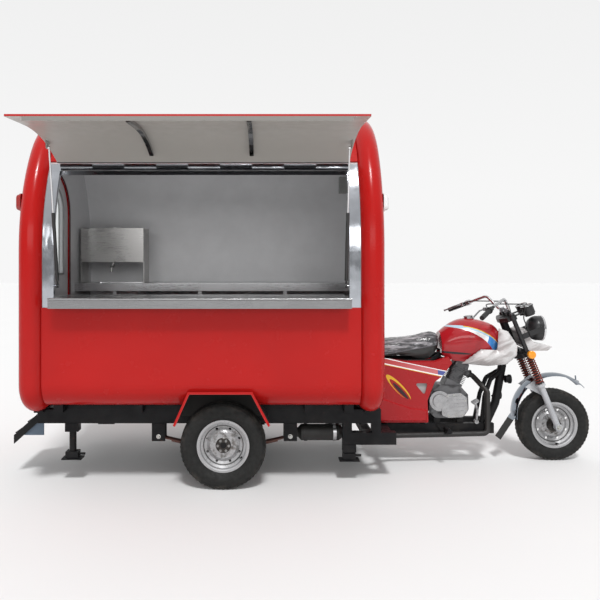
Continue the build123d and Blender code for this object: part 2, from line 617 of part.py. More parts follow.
with BuildPart() as hatch_hinge:
    for place in range(0, HINGE_KNUCKLES, 2):
        with BuildSketch(across(HATCH_REAR + place * KNUCKLE + SEAT)):
            knuckle_outline(HINGE_ANGLE, HINGE_ANGLE + KNUCKLE_SWEEP + LEAF_ANGLE)
        extrude(amount=KNUCKLE - 2 * SEAT)
    with BuildSketch(across(HATCH_REAR + SEAT)):
        band(SKIN_OUT + 2 * SEAT, SKIN_OUT + 4)
        below_ray(HINGE_ANGLE + KNUCKLE_SWEEP + LEAF_ANGLE, SPRING_Z, Mode.INTERSECT)
        below_ray(HINGE_ANGLE + KNUCKLE_SWEEP + 0.1, 0, Mode.SUBTRACT)
    extrude(amount=HATCH_LENGTH - 2 * SEAT)
    rod((HATCH_REAR + SEAT, *HINGE), (HATCH_REAR + HATCH_LENGTH - SEAT, *HINGE), HINGE_PIN)
save(hatch_hinge, "hatch_hinge")

STRUT_TOP = side_point(STRUT_TOP_GROW, STRUT_TOP_ANGLE)
LUG = 5
with BuildPart() as hatch_panel:
    with BuildSketch(across(HATCH_REAR)):
        band(HATCH_IN, HATCH_OUT)
        below_ray(HINGE_ANGLE - KNUCKLE_SWEEP - 0.1, HATCH_SILL_Z, Mode.INTERSECT)
    extrude(amount=HATCH_LENGTH)
    for place in range(1, HINGE_KNUCKLES, 2):
        with BuildSketch(across(HATCH_REAR + place * KNUCKLE)):
            band(HATCH_OUT - 1, SKIN_OUT + 4)
            below_ray(HINGE_ANGLE, SPRING_Z, Mode.INTERSECT)
            below_ray(HINGE_ANGLE - KNUCKLE_SWEEP - LEAF_ANGLE, 0, Mode.SUBTRACT)
            with Locations(HINGE):
                Circle(HINGE_BARREL)
                Circle(HINGE_PIN + RUN, mode=Mode.SUBTRACT)
        extrude(amount=KNUCKLE)
    for lug_x in (OPENING_REAR + 3, OPENING_FRONT - 3 - LUG):
        with BuildSketch(across(lug_x)):
            with BuildLine():
                Polyline(side_point(HATCH_IN + 2, STRUT_TOP_ANGLE + 1.6),
                         side_point(HATCH_IN + 2, STRUT_TOP_ANGLE - 1.6),
                         (STRUT_TOP[0], STRUT_TOP[1] - 12), (STRUT_TOP[0], STRUT_TOP[1] + 12), close=True)
            make_face()
        extrude(amount=LUG)
    for lug_x, eye_x in ((OPENING_REAR + 3, OPENING_REAR + STRUT_INSET - STRUT_EYE_WIDTH / 2 - 1),
                         (OPENING_FRONT - 3, OPENING_FRONT - STRUT_INSET + STRUT_EYE_WIDTH / 2 + 1)):
        rod((lug_x, *STRUT_TOP), (eye_x, *STRUT_TOP), STRUT_STUD_RADIUS)
    lip_y = -(ARCH_HALF + HATCH_IN)
    with Locations((KIOSK_MID, lip_y + 10, HATCH_SILL_Z + 2)):
        Box(HATCH_LENGTH - 2 * JAMB_WIDTH - 40, 24, 4)
hatch_panel.part = hatch_panel.part.rotate(HATCH_AXIS, -HATCH_OPEN)
save(hatch_panel, "hatch_panel")

with BuildPart() as hatch_ribs:
    for side in (-1, 1):
        rib_x = KIOSK_MID + side * HATCH_RIB_SHARE * HATCH_LENGTH
        with BuildSketch(across(rib_x - HATCH_RIB_WIDTH / 2)):
            band(HATCH_IN - HATCH_RIB_DEPTH, HATCH_IN - SEAT)
            below_ray(HEADER_BOTTOM_ANGLE - 3.4, HATCH_SILL_Z + 40, Mode.INTERSECT)
        extrude(amount=HATCH_RIB_WIDTH)
hatch_ribs.part = hatch_ribs.part.rotate(HATCH_AXIS, -HATCH_OPEN)
save(hatch_ribs, "hatch_ribs")

# Gas struts at rest, with the hatch open
STRUT_TOP_OPEN = swing_hatch(STRUT_TOP)
STRUT_RUN = (STRUT_TOP_OPEN[0] - STRUT_FOOT[0], STRUT_TOP_OPEN[1] - STRUT_FOOT[1])
STRUT_LENGTH = hypot(*STRUT_RUN)
STRUT_CLOSED = hypot(STRUT_TOP[0] - STRUT_FOOT[0], STRUT_TOP[1] - STRUT_FOOT[1])
STRUT_DIRECTION = (STRUT_RUN[0] / STRUT_LENGTH, STRUT_RUN[1] / STRUT_LENGTH)
STRUT_PLACES = (OPENING_REAR + STRUT_INSET, OPENING_FRONT - STRUT_INSET)
STRUT_SHANK = 34
STRUT_SHANK_RADIUS = 6
STRUT_BORE = 60              # from the foot to the bottom of the rod's bore


def on_strut(x, distance):
    """A point on a strut's line, at a distance from its foot."""
    return (x, STRUT_FOOT[0] + distance * STRUT_DIRECTION[0], STRUT_FOOT[1] + distance * STRUT_DIRECTION[1])


with BuildPart() as strut_cylinders:
    for x in STRUT_PLACES:
        rod(on_strut(x, 0), on_strut(x, STRUT_SHANK + 6), STRUT_SHANK_RADIUS)
        rod(on_strut(x, STRUT_SHANK), on_strut(x, STRUT_SHANK + STRUT_CYLINDER_LENGTH), STRUT_CYLINDER_RADIUS)
        rod((x - STRUT_EYE_WIDTH / 2, *STRUT_FOOT), (x + STRUT_EYE_WIDTH / 2, *STRUT_FOOT), STRUT_EYE_RADIUS)
        rod((x - STRUT_EYE_WIDTH, *STRUT_FOOT), (x + STRUT_EYE_WIDTH, *STRUT_FOOT), STRUT_STUD_RADIUS + RUN,
            mode=Mode.SUBTRACT)
        rod(on_strut(x, STRUT_BORE), on_strut(x, STRUT_SHANK + STRUT_CYLINDER_LENGTH + 1),
            STRUT_ROD_RADIUS + RUN, mode=Mode.SUBTRACT)
save(strut_cylinders, "strut_cylinders")

STRUT_ROD_FOOT = STRUT_LENGTH - STRUT_CLOSED + STRUT_BORE + 6
with BuildPart() as strut_rods:
    for x in STRUT_PLACES:
        rod(on_strut(x, STRUT_ROD_FOOT), on_strut(x, STRUT_LENGTH), STRUT_ROD_RADIUS)
        head = on_strut(x, STRUT_LENGTH)
        rod((x - STRUT_EYE_WIDTH / 2, *head[1:]), (x + STRUT_EYE_WIDTH / 2, *head[1:]), STRUT_EYE_RADIUS - 3)
save(strut_rods, "strut_rods")

# Serving counter: folded sheet with a rolled front edge and a return under the lip, on legs with arms
COUNTER_REAR = OPENING_REAR + 1
COUNTER_LENGTH = OPENING_LENGTH - 2
COUNTER_TURN_DOWN = 34
COUNTER_RETURN = 26
BEAD = 8
LEG_BAR = 30
LEG_PLACES = (-0.42, -0.06, 0.30)
FRONT_LEG_Y = COUNTER_BACK_Y - SHEET - LEG_BAR
with BuildPart() as serving_counter:
    with BuildSketch(across(COUNTER_REAR)):
        lip_foot = COUNTER_TOP - COUNTER_LIP
        turn_foot = COUNTER_TOP - COUNTER_TURN_DOWN
        with BuildLine():
            Polyline((COUNTER_LIP_Y, COUNTER_TOP), (COUNTER_BACK_Y, COUNTER_TOP), (COUNTER_BACK_Y, turn_foot),
                     (COUNTER_BACK_Y - SHEET, turn_foot), (COUNTER_BACK_Y - SHEET, COUNTER_TOP - SHEET),
                     (COUNTER_LIP_Y + SHEET, COUNTER_TOP - SHEET), (COUNTER_LIP_Y + SHEET, lip_foot + SHEET),
                     (COUNTER_LIP_Y + COUNTER_RETURN, lip_foot + SHEET),
                     (COUNTER_LIP_Y + COUNTER_RETURN, lip_foot), (COUNTER_LIP_Y, lip_foot), close=True)
        make_face()
        with Locations((COUNTER_LIP_Y + SHEET / 2, COUNTER_TOP - BEAD)):
            Circle(BEAD)
    extrude(amount=COUNTER_LENGTH)
    for share in LEG_PLACES:
        x = KIOSK_MID + share * COUNTER_LENGTH
        leg_head = COUNTER_TOP - SHEET - WELD
        arm_z = leg_head - LEG_BAR / 2
        bar((x, FRONT_LEG_Y, DECK_TOP + SEAT), (x, FRONT_LEG_Y, leg_head), LEG_BAR, LEG_BAR)
        bar((x, FRONT_LEG_Y - LEG_BAR / 2, arm_z), (x, -(ARCH_HALF + SKIN_IN) + SEAT, arm_z),
            LEG_BAR, LEG_BAR)
save(serving_counter, "serving_counter")

# Back counter with a pressed sink bowl and a raised work area, on legs along its front edge
LEFT_INNER = ARCH_HALF + LINER_IN
BACK_REAR = WALL_INNER_REAR + SEAT
BACK_LENGTH = WALL_INNER_FRONT - WALL_INNER_REAR - 2 * SEAT
BACK_LEG_Y = BACK_COUNTER_FRONT_Y + SHEET + LEG_BAR
SINK_X = WALL_INNER_REAR + 296
SINK_Y = BACK_COUNTER_FRONT_Y + 65 + SINK_WIDTH / 2
SINK_CORNER = 40
SINK_DRAFT = 6
TANK_REAR = WALL_INNER_REAR + 18
WORK_REAR = TANK_REAR + TANK_LENGTH + 60
WORK_FRONT = WALL_INNER_FRONT - 60
WORK_RIGHT = BACK_COUNTER_FRONT_Y + 40
WORK_LEFT = LEFT_INNER - 140
WORK_RISE = 2
with BuildPart() as back_counter:
    with BuildSketch(across(BACK_REAR)):
        with BuildLine():
            Polyline((BACK_COUNTER_FRONT_Y, BACK_COUNTER_TOP), (LEFT_INNER - SEAT, BACK_COUNTER_TOP),
                     (LEFT_INNER - SEAT, BACK_COUNTER_TOP - SHEET),
                     (BACK_COUNTER_FRONT_Y + SHEET, BACK_COUNTER_TOP - SHEET),
                     (BACK_COUNTER_FRONT_Y + SHEET, BACK_COUNTER_TOP - BACK_COUNTER_LIP),
                     (BACK_COUNTER_FRONT_Y, BACK_COUNTER_TOP - BACK_COUNTER_LIP), close=True)
        make_face()
    extrude(amount=BACK_LENGTH)
    with BuildSketch(Plane.XY.offset(BACK_COUNTER_TOP - SHEET)):
        with Locations((SINK_X, SINK_Y)):
            RectangleRounded(SINK_LENGTH, SINK_WIDTH, SINK_CORNER)
    extrude(amount=-SINK_DEPTH, taper=SINK_DRAFT)
    with BuildSketch(Plane.XY.offset(BACK_COUNTER_TOP)):
        with Locations((SINK_X, SINK_Y)):
            RectangleRounded(SINK_LENGTH - 2 * SHEET, SINK_WIDTH - 2 * SHEET, SINK_CORNER - SHEET)
    extrude(amount=-SINK_DEPTH, taper=SINK_DRAFT, mode=Mode.SUBTRACT)
    with BuildSketch(Plane.XY.offset(BACK_COUNTER_TOP)):
        with Locations(((WORK_REAR + WORK_FRONT) / 2, (WORK_RIGHT + WORK_LEFT) / 2)):
            RectangleRounded(WORK_FRONT - WORK_REAR, WORK_LEFT - WORK_RIGHT, SINK_CORNER)
    extrude(amount=WORK_RISE)
    for share in LEG_PLACES:
        x = KIOSK_MID + share * COUNTER_LENGTH
        bar((x, BACK_LEG_Y, DECK_TOP + SEAT), (x, BACK_LEG_Y, BACK_COUNTER_TOP - SHEET - WELD),
            LEG_BAR, LEG_BAR)
save(back_counter, "back_counter")

# Water tank on its stand, with the tap below it; the tap's lever turns on the body
TANK_MID = TANK_REAR + TANK_LENGTH / 2
TANK_BOTTOM = BACK_COUNTER_TOP + TANK_STAND
TANK_LID = 70
CHEEK = 6
TAP_BODY = 11
TAP_Y = TANK_FRONT_Y + 40
TAP_Z = TANK_BOTTOM - 40
TAP_REACH = 60
TAP_DROP = 40
TAP_BOSS = 8
with BuildPart() as water_tank:
    with Locations((TANK_MID, TANK_FRONT_Y + TANK_DEPTH / 2, TANK_BOTTOM + TANK_HEIGHT / 2)):
        Box(TANK_LENGTH, TANK_DEPTH, TANK_HEIGHT)
    fillet(water_tank.edges().filter_by(Axis.Z), radius=8)
    lid_z = TANK_BOTTOM + TANK_HEIGHT
    with Locations((TANK_MID, TANK_FRONT_Y + TANK_DEPTH / 2, lid_z)):
        Cylinder(TANK_LID, 14)
    cheek_z = BACK_COUNTER_TOP + (TANK_STAND + SEAT) / 2
    for cheek_x in (TANK_REAR + CHEEK / 2, TANK_REAR + TANK_LENGTH - CHEEK / 2):
        with Locations((cheek_x, TANK_FRONT_Y + TANK_DEPTH / 2, cheek_z)):
            Box(CHEEK, TANK_DEPTH - 16, TANK_STAND - SEAT)
    tube([(TANK_MID, TAP_Y, TANK_BOTTOM), (TANK_MID, TAP_Y, TAP_Z), (TANK_MID, TAP_Y - TAP_REACH, TAP_Z),
          (TANK_MID, TAP_Y - TAP_REACH, TAP_Z - TAP_DROP)], TAP_BODY + 3, TAP_BODY)
save(water_tank, "water_tank")

with BuildPart() as tap_lever:
    lever_y = TAP_Y - TAP_REACH / 2
    boss_foot = TAP_Z + TAP_BODY + SEAT
    rod((TANK_MID, lever_y, boss_foot), (TANK_MID, lever_y, boss_foot + 14), TAP_BOSS)
    bar((TANK_MID, lever_y, boss_foot + 10), (TANK_MID + 54, lever_y, boss_foot + 14), 12, 6)
save(tap_lever, "tap_lever")

# Junction box at the front wall: a lid with a shadow line, and its conduit up to the roof
BOX_MID_X = WALL_INNER_FRONT - SEAT - JUNCTION_BOX[0] / 2
BOX_MID_Y = 400
BOX_MID_Z = 2090
LID_LINE = 3
with BuildPart() as junction_box:
    with Locations((BOX_MID_X, BOX_MID_Y, BOX_MID_Z)):
        Box(*JUNCTION_BOX)
    fillet(junction_box.edges().filter_by(Axis.X), radius=8)
    with BuildSketch(across(BOX_MID_X - JUNCTION_BOX[0] / 4, BOX_MID_Y, BOX_MID_Z)):
        Rectangle(JUNCTION_BOX[1], JUNCTION_BOX[2])
        RectangleRounded(JUNCTION_BOX[1] - 2 * LID_LINE, JUNCTION_BOX[2] - 2 * LID_LINE, 2 * LID_LINE,
                         mode=Mode.SUBTRACT)
    extrude(amount=LID_LINE, mode=Mode.SUBTRACT)
    rod((BOX_MID_X + 20, BOX_MID_Y, BOX_MID_Z + JUNCTION_BOX[2] / 2 - 1),
        (BOX_MID_X + 20, BOX_MID_Y, BOX_MID_Z + JUNCTION_BOX[2] / 2 + 60), 9)
save(junction_box, "junction_box")

# Marker lamps on the ring crests, tail lamps low on the rear ring
LAMP_Z = 1850
LAMP_Y = SIDE_ARC_RADIUS * cos(asin((LAMP_Z - SPRING_Z) / SIDE_ARC_RADIUS)) - ARC_REACH
with BuildPart() as marker_lamps:
    for side in (-1, 1):
        for crest, outwards in ((KIOSK_REAR - SEAT, -1), (KIOSK_FRONT + SEAT, 1)):
            for long_size, wide, depth in ((116, 60, 10), (102, 48, 34)):
                with BuildSketch(across(crest, side * LAMP_Y, LAMP_Z)):
                    SlotOverall(long_size, wide, rotation=90)
                extrude(amount=outwards * depth)
    domes = marker_lamps.faces().filter_by(Plane.YZ).filter_by(lambda f: 3000 < f.area < 5000)
    fillet(domes.edges(), radius=14)
    for side in (-1, 1):
        with Locations((KIOSK_REAR - SEAT - 14, side * (FLAT_HALF - 60), BASE_Z + 30)):
            Box(28, 120, 84)
save(marker_lamps, "marker_lamps")

# Wheel wells: folded sheet over each tyre, closed on the inside
with BuildPart() as wheel_arches:
    for side in (-1, 1):
        inner = side * WELL_INNER_Y
        with BuildSketch(along(inner)):
            Polygon(*well_points(0, 0), align=None)
        extrude(amount=-side * (WELL_EDGE_Y - WELL_INNER_Y))
        with BuildSketch(along(inner + side * WELL_SHEET)):
            Polygon(*well_points(WELL_SHEET, CROSS_SIZE), align=None)
        extrude(amount=-side * (WELL_EDGE_Y - WELL_INNER_Y), mode=Mode.SUBTRACT)
save(wheel_arches, "wheel_arches")

# Stabiliser legs: tube, collar and foot, each sliding in its socket
LEG_FOOT = (134, 84, 8)
JACK_CASE = (84, 64, 40)
CRANK = 8
CRANK_OUT = 40


def stabiliser(x, y, socket_top, foot_z):
    """A leg that ends in a foot plate, with the case of its screw and a crank stub above the foot."""
    rod((x, y, foot_z), (x, y, socket_top - 12), LEG_RADIUS)
    with Locations((x, y, foot_z + LEG_FOOT[2] / 2)):
        Box(*LEG_FOOT)
    case_z = foot_z + 12 + JACK_CASE[2] / 2
    with Locations((x, y, case_z)):
        Box(*JACK_CASE)
    rod((x, y, case_z), (x + JACK_CASE[0] / 2 + CRANK_OUT, y, case_z), CRANK)


REAR_FOOT_Z = 148
FRONT_FOOT_Z = 136
leg_places = {"jack_leg_rear_right": (REAR_LEG_X, -1, RAIL_BOTTOM, REAR_FOOT_Z),
              "jack_leg_rear_left": (REAR_LEG_X, 1, RAIL_BOTTOM, REAR_FOOT_Z),
              "jack_leg_front_right": (FRONT_LEG_X, -1, LOWER_RAIL_BOTTOM, FRONT_FOOT_Z),
              "jack_leg_front_left": (FRONT_LEG_X, 1, LOWER_RAIL_BOTTOM, FRONT_FOOT_Z)}
for leg_name, (leg_x, leg_side, leg_top, leg_foot) in leg_places.items():
    with BuildPart() as jack_leg:
        stabiliser(leg_x, leg_side * RAIL_Y, leg_top, leg_foot)
    save(jack_leg, leg_name)

# Leaf springs: curved leaves of falling length under the axle, with an eye at each end
LEAF_CENTRE_Z = REAR_TYRE_RADIUS - AXLE_TUBE - SEAT
SPRING_RISE = SPRING_EYE_Z - LEAF_CENTRE_Z + LEAF_THICKNESS / 2
LEAF_ARC = ((SPRING_SPAN / 2) ** 2 + SPRING_RISE ** 2) / (2 * SPRING_RISE)
with BuildPart() as leaf_springs:
    for side in (-1, 1):
        for leaf in range(LEAF_COUNT):
            half = SPRING_SPAN / 2 - leaf * LEAF_STEP
            radius = LEAF_ARC + leaf * LEAF_THICKNESS
            turn = degrees(asin(half / radius))
            with BuildSketch(along(side * SPRING_Y + LEAF_WIDTH / 2, 0, LEAF_CENTRE_Z + LEAF_ARC)):
                with BuildLine():
                    outer = CenterArc((0, 0), radius + LEAF_THICKNESS, 270 - turn, 2 * turn)
                    inner = CenterArc((0, 0), radius, 270 - turn, 2 * turn)
                    Line(outer @ 0, inner @ 0)
                    Line(outer @ 1, inner @ 1)
                make_face()
            extrude(amount=LEAF_WIDTH)
        for eye in (-SPRING_SPAN / 2, SPRING_SPAN / 2):
            ends = (side * SPRING_Y - LEAF_WIDTH / 2, side * SPRING_Y + LEAF_WIDTH / 2)
            rod((eye, ends[0], SPRING_EYE_Z), (eye, ends[1], SPRING_EYE_Z), SPRING_EYE)
            rod((eye, ends[0], SPRING_EYE_Z), (eye, ends[1], SPRING_EYE_Z), SPRING_BOLT + RUN,
                mode=Mode.SUBTRACT)
save(leaf_springs, "leaf_springs")

# Rear axle: tube, differential with its nose, brake plates and wheel stubs
DIFF_RADIUS = 112
NOSE_END = 176
NOSE_RADIUS = 46
NOSE_FLANGE = 14
AXLE_HALF = TRACK / 2 - 62
BRAKE_RADIUS = 104
BRAKE_DEPTH = 22
HUB_OUTER = 26               # from the middle of a rear wheel to the outer end of its hub
HUB_INNER = 30
with BuildPart() as rear_axle:
    axle_z = REAR_TYRE_RADIUS
    rod((0, -AXLE_HALF, axle_z), (0, AXLE_HALF, axle_z), AXLE_TUBE)
    with Locations((0, 0, axle_z)):
        Sphere(DIFF_RADIUS)
    rod((0, 0, axle_z), (NOSE_END, 0, axle_z), NOSE_RADIUS)
    rod((NOSE_END - NOSE_FLANGE, 0, axle_z), (NOSE_END, 0, axle_z), NOSE_RADIUS + 12)
    for side in (-1, 1):
        rod((0, side * (AXLE_HALF - BRAKE_DEPTH), axle_z), (0, side * AXLE_HALF, axle_z), BRAKE_RADIUS)
        rod((0, side * AXLE_HALF, axle_z), (0, side * (TRACK / 2 + HUB_OUTER), axle_z), AXLE_STUB)
save(rear_axle, "rear_axle")


RIM_FLANGE = 6
BEAD_WIDTH = 15
CARCASS = 13
GROOVE = (6, 7)


RIM_WALL = 6
RIM_WELL_DEPTH = 32
HUB_RADIUS = 62


def wheel_section(hub_bore, hub_inner, hub_outer):
    """Half section of a pressed steel wheel: x along its axle, outwards positive, y from its axis."""
    half = RIM_WIDTH / 2
    well = RIM_RADIUS - RIM_WELL_DEPTH
    with BuildLine() as rim:
        for side in (-1, 1):
            Polyline((side * (half - 34), well), (side * (half - 26), RIM_RADIUS - 18),
                     (side * (half - 8), RIM_RADIUS - 14), (side * (half - RIM_WALL), RIM_RADIUS),
                     (side * half, RIM_RADIUS), (side * half, RIM_RADIUS - 12),
                     (side * (half - 4), RIM_RADIUS - 20), (side * (half - 22), RIM_RADIUS - 24),
                     (side * (half - 30), well - RIM_WALL))
        Line((34 - half, well), (half - 34, well))
        Line((30 - half, well - RIM_WALL), (half - 30, well - RIM_WALL))
    make_face(rim.edges())
    with BuildLine() as disc:
        Polyline((8, well - 3), (-6, well - 34), (10, well - 58), (10, HUB_RADIUS), (hub_inner, HUB_RADIUS),
                 (hub_inner, hub_bore), (hub_outer, hub_bore), (hub_outer, 44), (22, 50), (18, 76),
                 (18, well - 52), (4, well - 30), (18, well - 3), close=True)
    make_face(disc.edges())


def tyre_section(radius, width):
    """Section of a ribbed tyre on its rim, with the same axes."""
    flange = RIM_WIDTH / 2 - RIM_FLANGE - SEAT
    seat_edge = flange - 2
    heel = seat_edge - BEAD_WIDTH
    seat_r = RIM_RADIUS - 14 + SEAT
    heel_r = seat_r - 3.3
    half = width / 2
    waist = RIM_RADIUS + 0.42 * (radius - RIM_RADIUS)
    with BuildLine() as carcass:
        for side in (-1, 1):
            Polyline((side * flange, RIM_RADIUS), (side * seat_edge, seat_r), (side * heel, heel_r),
                     (side * heel, RIM_RADIUS))
            ThreePointArc((side * flange, RIM_RADIUS), (side * half, waist), (side * (half - 8), radius - 16))
            ThreePointArc((side * heel, RIM_RADIUS), (side * (half - CARCASS), waist),
                          (side * (half - 22), radius - 26))
            Line((side * (half - 8), radius - 16), (side * (half - 20), radius - 3))
        ThreePointArc((20 - half, radius - 3), (0, radius), (half - 20, radius - 3))
        ThreePointArc((22 - half, radius - 26), (0, radius - 22), (half - 22, radius - 26))
    make_face(carcass.edges())
    for place in (-0.62, -0.21, 0.21, 0.62):
        with Locations((place * (half - 20), radius)):
            Rectangle(GROOVE[0], 2 * GROOVE[1], mode=Mode.SUBTRACT)


NUT_CIRCLE = 36
NUT_SIZE = 9
BUMP_CIRCLE = 67
HOLE_CIRCLE = 112
for side, word in ((-1, "right"), (1, "left")):
    hub = across(0, side * TRACK / 2, REAR_TYRE_RADIUS)
    face = Plane(origin=(0, side * TRACK / 2, REAR_TYRE_RADIUS), x_dir=(1, 0, 0), z_dir=(0, side, 0))
    spin = Axis((0, 0, REAR_TYRE_RADIUS), (0, 1, 0))
    with BuildPart() as rear_wheel:
        with BuildSketch(hub):
            wheel_section(AXLE_STUB + RUN, -HUB_INNER, HUB_OUTER)
            if side < 0:
                mirror(about=Plane.YZ, mode=Mode.REPLACE)
        revolve(axis=spin)
        with BuildSketch(face.offset(HUB_OUTER)):
            with PolarLocations(NUT_CIRCLE, 6):
                RegularPolygon(NUT_SIZE, 6)
        extrude(amount=12)
        with BuildSketch(face.offset(18)):
            with PolarLocations(BUMP_CIRCLE, 8):
                Circle(NUT_SIZE)
        extrude(amount=4)
        with BuildSketch(face.offset(-8)):
            with PolarLocations(HOLE_CIRCLE, 8, start_angle=22.5):
                Circle(NUT_SIZE)
        extrude(amount=40, mode=Mode.SUBTRACT)
    save(rear_wheel, f"rear_wheel_{word}")
    with BuildPart() as rear_tyre:
        with BuildSketch(hub):
            tyre_section(REAR_TYRE_RADIUS, REAR_TYRE_WIDTH)
        revolve(axis=spin)
    save(rear_tyre, f"rear_tyre_{word}")

# Propeller shaft from the gearbox to the differential; it spins in a cross that swings with the axle
SHAFT_FRONT = (1392, 0, 390)
SHAFT_REAR = (NOSE_END + SEAT - MOTO_DATUM, 0, REAR_TYRE_RADIUS)
SHAFT_RADIUS = 24
SHAFT_RUN = (Vector(*SHAFT_FRONT) - Vector(*SHAFT_REAR)).normalized()
SHAFT_FLANGE = 54
CROSS_HALF = 30
CROSS_PIN = 10
YOKE_GAP = 34
FLANGE_BACK = 24             # from the shaft's end to the front of its rear flange


def on_shaft(distance):
    """A point on the shaft's line, at a distance behind its front joint."""
    return Vector(*SHAFT_FRONT) - SHAFT_RUN * distance


SHAFT_LENGTH = (Vector(*SHAFT_FRONT) - Vector(*SHAFT_REAR)).length
with BuildPart() as propeller_shaft:
    rod(on_shaft(YOKE_GAP), on_shaft(YOKE_GAP + 16), SHAFT_RADIUS + 14)
    flange = SHAFT_LENGTH - FLANGE_BACK
    rod(on_shaft(YOKE_GAP + 10), on_shaft(flange), SHAFT_RADIUS)
    rod(on_shaft(flange - 66), on_shaft(flange), SHAFT_RADIUS + 8)
    rod(on_shaft(flange), on_shaft(flange + 16), SHAFT_FLANGE)
    with BuildSketch(Plane(origin=on_shaft(flange), z_dir=SHAFT_RUN)):
        with PolarLocations(SHAFT_FLANGE - 13, 6):
            RegularPolygon(8, 6)
    extrude(amount=9)
    rod(on_shaft(YOKE_GAP - 1), on_shaft(YOKE_GAP + 20), CROSS_PIN + RUN, mode=Mode.SUBTRACT)
save(propeller_shaft, "propeller_shaft", MOTO_DATUM)

with BuildPart() as universal_joint:
    rod(on_shaft(0) - Vector(0, CROSS_HALF, 0), on_shaft(0) + Vector(0, CROSS_HALF, 0), CROSS_PIN)
    rod(on_shaft(0), on_shaft(YOKE_GAP - SEAT), CROSS_PIN + 7)
    rod(on_shaft(0), on_shaft(YOKE_GAP + 19), CROSS_PIN)
save(universal_joint, "universal_joint", MOTO_DATUM)

# Motorcycle front half: steering lines
RAKE = 22.3
FORK_Y = 100
STEM_BACK = 45
STEM_RADIUS = 14
HEAD_TUBE = 28
HEAD_LOW = 600
HEAD_HIGH = 840
FRONT_AXLE = Vector(FRONT_AXLE_X, 0, FRONT_TYRE_RADIUS)
FORK_AHEAD = Vector(cos(radians(RAKE)), 0, sin(radians(RAKE)))
FORK_UP = Vector(-sin(radians(RAKE)), 0, cos(radians(RAKE)))


def fork(ahead, y, up):
    """A point measured from the front axle, along and square to the fork legs."""
    return FRONT_AXLE + FORK_AHEAD * ahead + FORK_UP * up + Vector(0, y, 0)


def fork_plane(ahead, up):
    """A sketch plane square to the fork legs: its x points ahead, its y to the left."""
    return Plane(origin=fork(ahead, 0, up), x_dir=FORK_AHEAD, z_dir=FORK_UP)


# Main frame: rails, head tube, backbone, down tube with its cradle, seat rails, footrests and horns
MOTO_RAIL_Y = 95
MOTO_RAIL_WIDTH = 40
MOTO_RAIL_DEPTH = 72
MOTO_RAIL_Z = 256
MOTO_RAIL_REAR = LOWER_RAIL_FRONT - MOTO_DATUM + WELD
MOTO_RAIL_FRONT = 1940
MOTO_CROSS = 60
MOTO_RAIL_TOP = MOTO_RAIL_Z + MOTO_RAIL_DEPTH / 2
BACKBONE_REAR = (1590, 0, 790)
BACKBONE_RADIUS = 27
BACKBONE_HEAD = (HEAD_LOW + 2 * HEAD_HIGH) / 3
DOWN_TUBE_RADIUS = 30
DOWN_TUBE_KNEE = (2040, 0, 690)
DOWN_TUBE_FOOT_X = 1915
CRADLE_RADIUS = 16
SEAT_RAIL_RADIUS = 14
SEAT_RAIL_Z = 742
SEAT_RAIL_Y = 100
SEAT_RAIL_REAR = 1075
SEAT_RAIL_BEND = (1480, 92)
SEAT_CROSS_X = SEAT_RAIL_REAR + 24
POST_FEET = (1178, 1420)
POST_HEADS = (1100, 1470)
FOOTREST_X = 1580
FOOTREST_Z = 264
FOOTREST_OUT = 246
FOOTREST_RADIUS = 11
FOOTREST_GRIP = (172, 17)    # where the rubber starts, and its radius
FOOTREST_PLATE = (124, 8)
HORN_PLACES = ((2046, -46, 603), (2006, 46, 469))
HORN_RADIUS = 33
ENGINE_FOOT_Z = 323
ENGINE_PADS = (1530, 1700)
ENGINE_PAD_Y = 70
